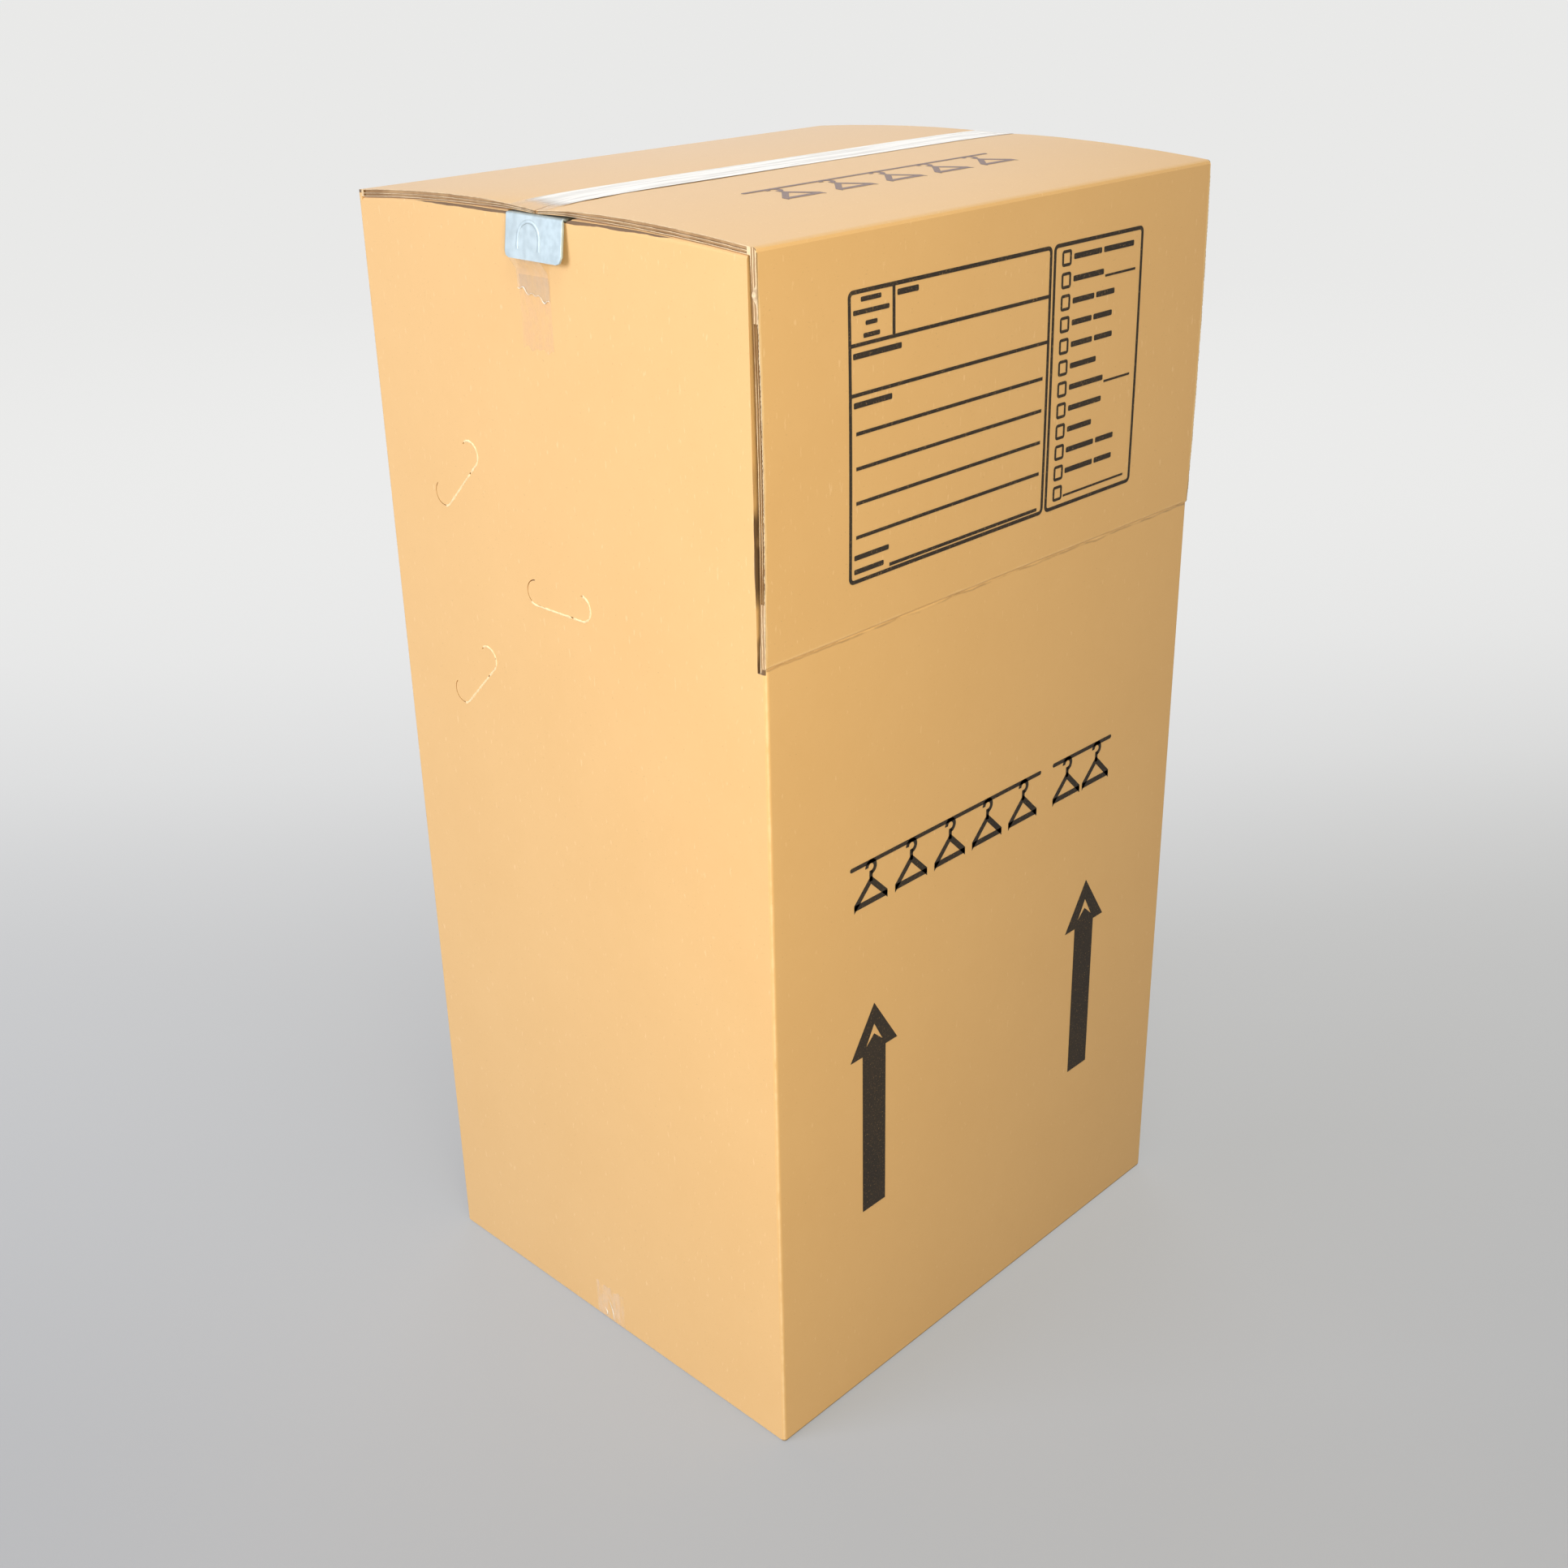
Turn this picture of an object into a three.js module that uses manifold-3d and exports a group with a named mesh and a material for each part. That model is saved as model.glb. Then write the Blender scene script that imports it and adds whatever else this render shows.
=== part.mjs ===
// A tall wardrobe moving box of double-wall board, closed and taped, with its steel hanger bar.
// Millimetres, +Z up. The origin is the middle of the footprint on the floor.
// The front, with the drop-front door, faces -Y. The hanger bar and both seams run along X.
import * as THREE from "three";
import { mergeVertices } from "three/addons/utils/BufferGeometryUtils.js";
import Module from "manifold-3d";

const wasm = await Module();
wasm.setup();

// Box
const boxWidth = 617;
const boxDepth = 515;
const boxHeight = 1168;
const board = 6.4;
const cornerRadius = 4;
const foldRadius = 3;
const layerGap = 0.5;
const seamGap = 2;

// Slots between the flaps, and the gap that the minor flaps leave between their ends
const slotWidth = 9.5;
const minorFlapLength = 257;
const glueLapWidth = 38;
const glueLapThickness = 4;
const glueLapSetback = 30;

// Drop-front door
const doorHeight = 338;
const doorSlotHeight = 343;
const creaseDepth = 0.8;
const creaseHeight = 3.2;
const doorBow = 0.8;
const doorBowLeft = 2.4;
const doorBowRight = 1;
const doorBowReach = 100;

// Top flaps: how far they spring up, and how the tape and the bar pull their ends down
const flapCrown = 11.2;
const flapCrownPower = 0.8;
const endDipLeft = 6.9;
const endDipRight = 2.3;
const endDipReach = 40;
const endDipPower = 4;
const endCrush = 3.9;
const endCrushSpread = 60;
const endCrushReach = 20;
const wallTopRise = 2;

// Open flutes along the raw edges, as shares of the board's thickness
const fluteDepth = 2;
const wideFlute = [0.09, 0.5];
const narrowFlute = [0.58, 0.9];

// Hand holes in both side walls: cut through, with the tongue still in place on its uncut side
const handHoleLength = 89;
const handHoleHeight = 25;
const handCutWidth = 1;
const handHoles = [
  { fromRear: 251.3, fromTop: 340, turn: 0 },
  { fromRear: 113, fromTop: 247.5, turn: -Math.PI / 4 },
  { fromRear: 114.4, fromTop: 449.4, turn: -Math.PI / 4 },
];

// Notch for the bar in the fold of each side wall
const notchFromRear = 218.7;
const notchWidth = 87.5;
const notchDrop = 4.3;
const notchRearRun = 3.2;
const notchFrontRun = 12.4;
const notchReach = 42;

// Hanger bar
const barSheet = 1;
const barEndWidth = 74.3;
const barFromRear = 221.3;
const barWidth = 30;
const barLegDepth = 20;
const barBend = 3;
const barDropBelowFlap = 9;
const barRampStart = 14;
const barRampEnd = 34;
const tabHeight = 37;
const tabStandoff = 3.4;
const tabSplay = 4.8;
const tabFlange = 2.4;
const tabCorner = 5;
const tabFlangeBend = 1.2;
const tabRim = 1.5;
const tabBendRadius = 2.2;
const seatClearance = 0.3;

// Tapes
const film = 0.2;
const filmClearance = 0.35;
const topTapeWidth = 48;
const topTapeTailWidth = 42;
const topTapeCentre = 2.5;
const topTapeEndShift = 6.5;
const topTapeShiftReach = 90;
const topTapeTail = 66;
const topTapeLift = 3;
const tornWave = 1.2;
const tornWaveLengths = [3.1, 1.7];
const tapeShares = [-0.5, -0.42, -0.08, 0.08, 0.42, 0.5];
const overOldTape = 0.9;
const oldTapeWidth = 41;
const oldTapeCentre = 8;
const oldTapeTop = 50;
const oldTapeBottom = 113;
const bottomTapeWidth = 44;
const bottomTapeCentre = 2.5;
const bottomTapeTail = 44;
const tapeBedDepth = 0.9;
const tapeBedMargin = 2;

// Print: all places are measured from the front's left edge and from its top
const inkThickness = 0.2;
const inkClearance = 0.3;
const frameCorner = 6;
const frameLine = 3.6;
const ruleLine = 3.2;
const labelFrame = { left: 100.2, right: 368.7, top: 46.6, bottom: 292 };
const tagBoxRight = 157.7;
const tagRule = 89;
const numberRule = 129.4;
const ruleLeft = 108.9;
const ruleRight = 360.3;
const firstRule = 161.5;
const secondRule = 190.9;
const thirdRule = 220.4;
const fourthRule = 249.9;
const lastRule = 284;
const lastRuleLeft = 151.6;
const lastRuleRight = 359.2;
const labelRules = [
  { left: ruleLeft, right: ruleRight, top: firstRule },
  { left: ruleLeft, right: ruleRight, top: secondRule },
  { left: ruleLeft, right: ruleRight, top: thirdRule },
  { left: ruleLeft, right: ruleRight, top: fourthRule },
  { left: lastRuleLeft, right: lastRuleRight, top: lastRule },
];
const checkFrame = { left: 371.1, right: 509, top: 46.4, bottom: 292.1 };
const checkBoxSize = 14.4;
const checkBoxLeft = 383.4;
const checkBoxCorner = 3;
const checkBoxLine = 2.8;
const firstCheckBox = 53.3;
const checkBoxPitch = 19.7;
const checkBoxCount = 12;
const leftArrowMiddle = 133.6;
const leftArrowTip = 716.4;
const leftArrowHeadBase = 769.4;
const leftArrowBottom = 950.9;
const rightArrowMiddle = 472.3;
const rightArrowTip = 720.6;
const rightArrowHeadBase = 773.8;
const rightArrowBottom = 955;
const arrowHeadWidth = 67;
const arrowShaftWidth = 33;
const arrowCutWidth = 24;
const arrowCutHeight = 22;
const arrowCutDrop = 23;
const arrows = [
  {
    name: "left_arrow",
    middle: leftArrowMiddle,
    tip: leftArrowTip,
    headBase: leftArrowHeadBase,
    bottom: leftArrowBottom,
  },
  {
    name: "right_arrow",
    middle: rightArrowMiddle,
    tip: rightArrowTip,
    headBase: rightArrowHeadBase,
    bottom: rightArrowBottom,
  },
];

// Rows of coat hangers, printed in the heading's place and on the front top flap
const frontRowTop = 561.5;
const wideRowLeft = 100.7;
const wideRowRight = 384.2;
const narrowRowLeft = 403.4;
const narrowRowRight = 503.9;
const topRowLeft = 143.5;
const topRowRight = 473.5;
const topRowFromFold = 161;
const hangerRows = [
  { name: "wide_hanger_row", left: wideRowLeft, right: wideRowRight, top: frontRowTop, count: 5 },
  { name: "narrow_hanger_row", left: narrowRowLeft, right: narrowRowRight, top: frontRowTop, count: 2 },
];
const topHangerRow = {
  name: "top_hanger_row",
  left: topRowLeft,
  right: topRowRight,
  fromFold: topRowFromFold,
  count: 5,
};
const hangerWidth = 46;
const hangerHeight = 46;
const hangerLine = 6;
const hangerHook = 8;
const hangerShoulder = 17;
const railLine = 4.4;
const cornerSegments = 2;
const hookSegments = 5;

const halfWidth = boxWidth / 2;
const halfDepth = boxDepth / 2;
const creaseLevel = boxHeight - doorHeight;
const slotLevel = boxHeight - doorSlotHeight;
const innerHalfWidth = halfWidth - board;
const innerHalfDepth = halfDepth - board;
const minorHalfDepth = halfDepth - slotWidth;
const minorFlapEnd = halfWidth - minorFlapLength;
// How far a cutting block reaches past what it cuts
const beyond = 8;
const overhead = 60;

const kraftMaterial = new THREE.MeshStandardMaterial({ color: 0xd9b07a, roughness: 0.9, metalness: 0 });
const steelMaterial = new THREE.MeshStandardMaterial({ color: 0xc9d3da, roughness: 0.38, metalness: 0.9 });
const inkMaterial = new THREE.MeshStandardMaterial({ color: 0x2a292b, roughness: 0.7, metalness: 0 });
const fadedInkMaterial = new THREE.MeshStandardMaterial({ color: 0x8f7f80, roughness: 0.7, metalness: 0 });
const filmMaterial = new THREE.MeshStandardMaterial({
  color: 0xf4ead6,
  roughness: 0.15,
  metalness: 0,
  transparent: true,
  opacity: 0.5,
});

// A closed sheet of along x across cells, whose corners place(i, j, outer) puts where they belong
function sheet(along, across, place) {
  const geometry = new THREE.BoxGeometry(1, 1, 1, along, across, 1);
  const position = geometry.attributes.position;
  for (let k = 0; k < position.count; k += 1) {
    const i = Math.round((position.getX(k) + 0.5) * along);
    const j = Math.round((position.getY(k) + 0.5) * across);
    position.setXYZ(k, ...place(i, j, position.getZ(k) > 0));
  }
  return geometry;
}

function toSolid(geometry) {
  const bare = geometry.clone();
  bare.deleteAttribute("normal");
  bare.deleteAttribute("uv");
  const merged = mergeVertices(bare, 1e-4);
  return new wasm.Manifold(
    new wasm.Mesh({
      numProp: 3,
      vertProperties: new Float32Array(merged.attributes.position.array),
      triVerts: new Uint32Array(merged.index.array),
    }),
  );
}

function toGeometry(solid) {
  const mesh = solid.getMesh();
  const geometry = new THREE.BufferGeometry();
  geometry.setAttribute("position", new THREE.BufferAttribute(mesh.vertProperties, 3));
  geometry.setIndex(new THREE.BufferAttribute(mesh.triVerts, 1));
  geometry.computeVertexNormals();
  return geometry;
}

function block(low, high) {
  const size = high.map((value, axis) => value - low[axis]);
  const middle = high.map((value, axis) => (value + low[axis]) / 2);
  return toSolid(new THREE.BoxGeometry(...size).translate(...middle));
}

// Everything above a height surface, over stations in X and Y
function spaceAbove(xs, ys, surface) {
  return toSolid(
    sheet(xs.length - 1, ys.length - 1, (i, j, outer) => [
      xs[i],
      ys[j],
      outer ? boxHeight + overhead : surface(xs[i], ys[j]),
    ]),
  );
}

// Everything between two surfaces that face the front, over stations in X and Z
function spaceBetween(xs, zs, rear, front) {
  return toSolid(
    sheet(xs.length - 1, zs.length - 1, (i, j, outer) => [
      xs[i],
      outer ? front(xs[i], zs[j]) : rear(xs[i], zs[j]),
      zs[j],
    ]),
  );
}

// The round that a fold leaves, as a drop of the surface at this distance from the edge
function roundDrop(distance, radius) {
  const inside = radius - Math.min(Math.max(distance, 0), radius);
  return radius - Math.sqrt(radius * radius - inside * inside);
}

// Shape of the major flaps
function runFromFold(y) {
  return Math.max(halfDepth - Math.abs(y), 0);
}

function endShare(x, reach) {
  return [Math.exp(-(x + halfWidth) / reach), Math.exp((x - halfWidth) / reach)].map((share) =>
    Math.min(share, 1),
  );
}

function flapSurface(x, y) {
  const share = runFromFold(y) / halfDepth;
  const crown = flapCrown * Math.sin((share * Math.PI) / 2) ** flapCrownPower;
  const [left, right] = endShare(x, endDipReach);
  return boxHeight + crown - (endDipLeft * left + endDipRight * right) * share ** endDipPower;
}

function flapTop(x, y) {
  return flapSurface(x, y) - roundDrop(runFromFold(y), foldRadius);
}

function flapThickness(x, y) {
  const [left] = endShare(x, endCrushReach);
  return board - endCrush * left * Math.exp(-((y / endCrushSpread) ** 2));
}

function flapUnderside(x, y) {
  return flapSurface(x, y) - flapThickness(x, y);
}

// Shape of the minor flaps, which lie under the major ones and are pressed down near their ends
function minorSurface(x, y) {
  const level = boxHeight + wallTopRise * (1 - (y / halfDepth) ** 2);
  return Math.min(level, flapUnderside(x, y) - layerGap);
}

function minorTop(x, y) {
  return minorSurface(x, y) - roundDrop(halfWidth - Math.abs(x), foldRadius);
}

function minorUnderside(x, y) {
  return minorSurface(x, y) - board;
}

// How far the door bows out
function doorOut(x, z) {
  const [left, right] = endShare(x, doorBowReach);
  const rise = Math.min(Math.max((z - creaseLevel) / doorHeight, 0), 1);
  return (doorBow + doorBowLeft * left + doorBowRight * right) * Math.sin(rise * Math.PI);
}

// Stations, closer together where the surfaces turn: runs from the left end, the middle, the right end
function stationsAlong(leftRuns, rightRuns) {
  return [
    ...leftRuns.map((run) => run - halfWidth),
    0,
    ...rightRuns.toReversed().map((run) => halfWidth - run),
  ];
}

const leftDipRuns = [12, 32, 80];
const rightDipRuns = [40, 110];
const leftBowRuns = [30, 80, 150];
const rightBowRuns = [50, 120];
const endRuns = [-beyond, 0];
const foldedEndRuns = [...endRuns, foldRadius / 3, foldRadius];
const alongTop = stationsAlong([...endRuns, ...leftDipRuns], [...endRuns, ...rightDipRuns]);
const alongUnder = stationsAlong([...foldedEndRuns, ...leftDipRuns], [...foldedEndRuns, ...rightDipRuns]);
const alongMinor = stationsAlong([-beyond, board, ...leftDipRuns], [-beyond, ...rightDipRuns]);
const alongDoor = stationsAlong([...endRuns, ...leftBowRuns], [...endRuns, ...rightBowRuns]);

const flapSpans = 6;
const flapSpan = (halfDepth - slotWidth) / flapSpans;
const flapRuns = [
  -2 * beyond,
  0,
  foldRadius / 3,
  foldRadius,
  board,
  slotWidth,
  ...Array.from({ length: flapSpans - 1 }, (_, k) => slotWidth + flapSpan * (k + 1)),
];
const acrossFlaps = [
  ...flapRuns.map((run) => run - halfDepth),
  -seamGap / 2,
  seamGap / 2,
  ...flapRuns.toReversed().map((run) => halfDepth - run),
];

const doorSpans = 6;
const upDoor = Array.from({ length: doorSpans + 1 }, (_, k) => creaseLevel + (doorHeight * k) / doorSpans);

function roundedRectangle(width, depth, radius) {
  const x = width / 2 - radius;
  const y = depth / 2 - radius;
  const shape = new THREE.Shape();
  shape.absarc(x, y, radius, 0, Math.PI / 2);
  shape.absarc(-x, y, radius, Math.PI / 2, Math.PI);
  shape.absarc(-x, -y, radius, Math.PI, 1.5 * Math.PI);
  shape.absarc(x, -y, radius, 1.5 * Math.PI, 2 * Math.PI);
  return shape;
}

// The outer form: upright corners and bottom folds rounded, the door's own edges sharp, flaps on top
function outerForm(aboveFlaps) {
  const shape = roundedRectangle(
    boxWidth - 2 * foldRadius,
    boxDepth - 2 * foldRadius,
    cornerRadius - foldRadius,
  );
  const prism = new THREE.ExtrudeGeometry(shape, {
    depth: boxHeight + overhead / 2,
    curveSegments: 4,
    bevelSize: foldRadius,
    bevelThickness: foldRadius,
    bevelSegments: 3,
  }).translate(0, 0, foldRadius);
  const doorBlock = block(
    [-halfWidth, -halfDepth - beyond, creaseLevel],
    [halfWidth, -innerHalfDepth, boxHeight + overhead / 2],
  );
  const front = spaceBetween(
    alongDoor,
    [...upDoor, boxHeight + overhead],
    (x, z) => -halfDepth - doorOut(x, z),
    () => -halfDepth - 2 * beyond,
  );
  return toSolid(prism).add(doorBlock).subtract(front).subtract(aboveFlaps);
}

// The space inside the walls and the folded-in minor flaps, with a slot beside each minor flap
function innerSpace(aboveUnderside) {
  const floorLevel = 2 * board + layerGap;
  const aboveMinor = spaceAbove(alongMinor, acrossFlaps, minorUnderside);
  const hall = block(
    [-innerHalfWidth, -minorHalfDepth, floorLevel],
    [innerHalfWidth, minorHalfDepth, boxHeight + overhead / 2],
  ).subtract(aboveMinor);
  const between = block(
    [-minorFlapEnd, -minorHalfDepth, board],
    [minorFlapEnd, minorHalfDepth, boxHeight + overhead / 2],
  );
  const slots = [-1, 1].map((side) => {
    const ends = [side * minorHalfDepth, side * innerHalfDepth].sort((a, b) => a - b);
    return block([-innerHalfWidth, ends[0], board], [innerHalfWidth, ends[1], boxHeight + overhead / 2]);
  });
  const open = between.add(slots[0]).add(slots[1]).subtract(aboveUnderside);
  const bottomLayer = block(
    [-innerHalfWidth, -innerHalfDepth, board],
    [innerHalfWidth, innerHalfDepth, board + layerGap],
  );
  const lap = block(
    [innerHalfWidth - glueLapWidth, innerHalfDepth - glueLapThickness, glueLapSetback],
    [halfWidth, halfDepth, boxHeight - glueLapSetback],
  );
  return hall.add(open).add(bottomLayer).subtract(lap);
}

// The gap between the major and the minor flaps, open at both side walls
function layerSpace(aboveUnderside) {
  const reach = halfWidth + beyond / 2;
  return spaceAbove(alongUnder, acrossFlaps, minorTop)
    .subtract(aboveUnderside)
    .intersect(block([-reach, -innerHalfDepth, creaseLevel], [reach, innerHalfDepth, boxHeight + overhead]));
}

// The slots that free the door from the side walls
function doorSlots() {
  const zs = [slotLevel, ...upDoor.slice(0, -1), boxHeight - board + layerGap];
  return spaceBetween(
    alongDoor,
    zs,
    () => -minorHalfDepth,
    (x, z) => -innerHalfDepth - doorOut(x, z),
  );
}

function creaseGroove() {
  const section = new THREE.Shape([
    new THREE.Vector2(-beyond, -creaseHeight / 2),
    new THREE.Vector2(0, -creaseHeight / 2),
    new THREE.Vector2(creaseDepth, 0),
    new THREE.Vector2(0, creaseHeight / 2),
    new THREE.Vector2(-beyond, creaseHeight / 2),
  ]);
  return toSolid(alongX(section, boxWidth + 2 * beyond).translate(0, -halfDepth, creaseLevel));
}

// Extrudes an outline drawn in Y and Z along X, half to each side
function alongX(shape, length, options = {}) {
  const turn = new THREE.Matrix4().makeBasis(
    new THREE.Vector3(0, 1, 0),
    new THREE.Vector3(0, 0, 1),
    new THREE.Vector3(1, 0, 0),
  );
  return new THREE.ExtrudeGeometry(shape, { depth: length, bevelEnabled: false, ...options })
    .translate(0, 0, -length / 2)
    .applyMatrix4(turn);
}

// A long hole with round ends, drawn about its middle
function longHole(length, height) {
  const radius = height / 2;
  const reach = length / 2 - radius;
  const shape = new THREE.Shape();
  shape.absarc(reach, 0, radius, -Math.PI / 2, Math.PI / 2);
  shape.absarc(-reach, 0, radius, Math.PI / 2, 1.5 * Math.PI);
  return shape;
}

function handHoleCut({ fromRear, fromTop, turn }) {
  const length = boxWidth + 2 * beyond;
  const outer = toSolid(alongX(longHole(handHoleLength, handHoleHeight), length, { curveSegments: 10 }));
  const tongue = toSolid(
    alongX(longHole(handHoleLength - 2 * handCutWidth, handHoleHeight - 2 * handCutWidth), length + 1, {
      curveSegments: 10,
    }),
  );
  const straight = (handHoleLength - handHoleHeight) / 2;
  const uncutSide = block([-length, -straight, 0], [length, straight, handHoleHeight]);
  const placed = new THREE.Matrix4()
    .makeTranslation(0, halfDepth - fromRear, boxHeight - fromTop)
    .multiply(new THREE.Matrix4().makeRotationX(turn));
  return toSolid(toGeometry(outer.subtract(tongue).subtract(uncutSide)).applyMatrix4(placed));
}

const notchRear = halfDepth - notchFromRear;
const notchFront = notchRear - notchWidth;
const notchBrow = boxHeight + wallTopRise;

// The notch over each side wall, and the opening behind it in the minor flap
function barNotches(aboveUnderside) {
  const outline = new THREE.Shape([
    new THREE.Vector2(notchRear, notchBrow),
    new THREE.Vector2(notchRear, notchBrow + beyond),
    new THREE.Vector2(notchFront, notchBrow + beyond),
    new THREE.Vector2(notchFront, notchBrow),
    new THREE.Vector2(notchFront + notchFrontRun, notchBrow - notchDrop),
    new THREE.Vector2(notchRear - notchRearRun, notchBrow - notchDrop),
  ]);
  const throughWalls = toSolid(alongX(outline, boxWidth + 2 * beyond));
  const inner = block(
    [-innerHalfWidth - layerGap, notchFront, boxHeight - 3 * board],
    [innerHalfWidth + layerGap, notchRear, boxHeight + beyond],
  );
  const middle = halfWidth - notchReach;
  const kept = block([-middle, -halfDepth, 0], [middle, halfDepth, boxHeight + overhead]);
  return throughWalls.add(inner).subtract(kept).subtract(aboveUnderside);
}

// Open flutes in the raw ends of the major flaps, between the liners
function flapFlutes() {
  const ys = acrossFlaps.filter((y) => runFromFold(y) >= slotWidth);
  return [wideFlute, narrowFlute].map(([start, end]) => {
    const atDepth = (share) =>
      spaceAbove(alongUnder, ys, (x, y) => flapSurface(x, y) - share * flapThickness(x, y));
    const middle = halfWidth - fluteDepth;
    return atDepth(end)
      .subtract(atDepth(start))
      .subtract(block([-middle, -halfDepth, 0], [middle, halfDepth, boxHeight + 2 * overhead]));
  });
}

// The same in the raw side edges of the door
function doorFlutes() {
  const zs = upDoor.slice(1, -1);
  return [wideFlute, narrowFlute].map(([start, end]) =>
    spaceBetween(
      alongDoor,
      zs,
      (x, z) => -halfDepth - doorOut(x, z) + end * board,
      (x, z) => -halfDepth - doorOut(x, z) + start * board,
    ).subtract(
      block(
        [fluteDepth - halfWidth, -halfDepth - beyond, 0],
        [halfWidth - fluteDepth, halfDepth, boxHeight + overhead],
      ),
    ),
  );
}

// Bottom: the seam, the slits at the major flaps' ends, and the bed that the tape presses in
function bottomCuts() {
  const under = -beyond;
  const seam = block(
    [-innerHalfWidth, -seamGap / 2, under],
    [innerHalfWidth, seamGap / 2, board + layerGap],
  );
  const slits = [-1, 1].map((side) => {
    const xs = [side * innerHalfWidth, side * (innerHalfWidth - layerGap)].sort((a, b) => a - b);
    return block([xs[0], -innerHalfDepth, under], [xs[1], innerHalfDepth, board + layerGap]);
  });
  const bedHalf = bottomTapeWidth / 2 + tapeBedMargin;
  const bed = block(
    [-halfWidth - beyond, bottomTapeCentre - bedHalf, under],
    [halfWidth + beyond, bottomTapeCentre + bedHalf, tapeBedDepth],
  );
  return seam.add(slits[0]).add(slits[1]).add(bed);
}

function makeCarton() {
  const aboveFlaps = spaceAbove(alongTop, acrossFlaps, flapTop);
  const aboveUnderside = spaceAbove(alongUnder, acrossFlaps, flapUnderside);
  const minorFaces = spaceAbove(alongUnder, acrossFlaps, minorTop);
  const seam = block(
    [-halfWidth - beyond, -seamGap / 2, boxHeight - overhead],
    [halfWidth + beyond, seamGap / 2, boxHeight + overhead],
  ).intersect(minorFaces);
  const cuts = [
    innerSpace(aboveUnderside),
    layerSpace(aboveUnderside),
    doorSlots(),
    creaseGroove(),
    seam,
    barNotches(aboveUnderside),
    bottomCuts(),
    ...flapFlutes(),
    ...doorFlutes(),
    ...handHoles.map(handHoleCut),
  ];
  const carton = cuts.reduce((solid, cut) => solid.subtract(cut), outerForm(aboveFlaps));
  return toGeometry(carton);
}

// Hanger bar: one pressed strip, from the foot of one tab over both walls to the foot of the other
const barRear = halfDepth - barFromRear;
const barFront = barRear - barEndWidth;
const barMiddle = (barRear + barFront) / 2;

// Height of the notch's floor at a place across it
function notchFloor(y) {
  const rearDrop = (notchRear - y) / notchRearRun;
  const frontDrop = (y - notchFront) / notchFrontRun;
  return notchBrow - notchDrop * Math.min(rearDrop, frontDrop, 1);
}

const barSeat = Math.max(notchFloor(barRear), notchFloor(barFront)) + seatClearance;
const webTop = flapUnderside(-halfWidth, 0) - layerGap;
const webLeg = webTop - barSeat;
const channelTop = boxHeight - barDropBelowFlap;

// Stations of half the strip, from the tab's foot to the middle: run is measured in from the wall
function barStations() {
  const endHalf = barEndWidth / 2;
  const foot = webTop - tabHeight;
  const straight = tabHeight - tabBendRadius;
  const station = (run, z, out, half, leg, bend = tabFlangeBend) => ({ run, z, out, half, leg, bend });
  const onTab = (rise, half, leg) =>
    station(-tabStandoff - tabSplay * (1 - rise / straight), foot + rise, [-1, 0], half, leg);
  const cornerCut = tabCorner * (1 - Math.SQRT1_2);
  const aroundBend = [0, 30, 60, 90].map((degrees) => {
    const angle = THREE.MathUtils.degToRad(degrees);
    const run = tabBendRadius * (1 - Math.cos(angle)) - tabStandoff;
    const z = webTop - tabBendRadius * (1 - Math.sin(angle));
    return station(run, z, [-Math.cos(angle), Math.sin(angle)], endHalf, tabRim);
  });
  return [
    onTab(0, endHalf - tabCorner, tabRim),
    onTab(cornerCut, endHalf - cornerCut, tabRim),
    onTab(tabCorner, endHalf, tabRim),
    onTab(tabCorner + tabRim, endHalf, tabFlange),
    onTab(straight - tabBendRadius, endHalf, tabFlange),
    ...aroundBend,
    station(0, webTop, [0, 1], endHalf, webLeg),
    station(barRampStart, webTop, [0, 1], endHalf, webLeg),
    station(barRampEnd, channelTop, [0, 1], barWidth / 2, barLegDepth, barBend),
  ];
}

// Points across the strip, as distance from its middle and depth: a leg, its bend, the web, and back
function acrossBar({ half, leg, bend }, outer) {
  const arc = outer ? bend : bend - barSheet;
  const face = outer ? half : half - barSheet;
  const side = [
    [face, leg],
    [face, bend],
    [half - bend + arc * Math.SQRT1_2, bend - arc * Math.SQRT1_2],
    [half - bend, bend - arc],
  ];
  return [...side.map(([y, depth]) => [-y, depth]), ...side.toReversed()];
}

// Both halves of a strip that runs along X from one end to the other
function bothEnds(half) {
  return [
    ...half.map((station) => ({ ...station, side: -1 })),
    ...half.toReversed().map((station) => ({ ...station, side: 1 })),
  ];
}

function makeHangerBar() {
  const stations = bothEnds(barStations());
  const points = acrossBar(stations[0], true).length;
  return sheet(stations.length - 1, points - 1, (i, j, outer) => {
    const { run, z, out, side } = stations[i];
    const [y, depth] = acrossBar(stations[i], outer)[j];
    return [side * (halfWidth - run + depth * out[0]), barMiddle + y, z - depth * out[1]];
  });
}

// The ragged end of a torn tape, as a height above its shortest point
function torn(y) {
  return tornWaveLengths.reduce((height, length, k) => height + tornWave * Math.sin(y / length + k), 0);
}

// Top tape: over both major flaps' ends and the bar's tabs, and down the walls
function tapeCentre(x) {
  const [left] = endShare(x, topTapeShiftReach);
  return topTapeCentre + topTapeEndShift * left;
}

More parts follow.
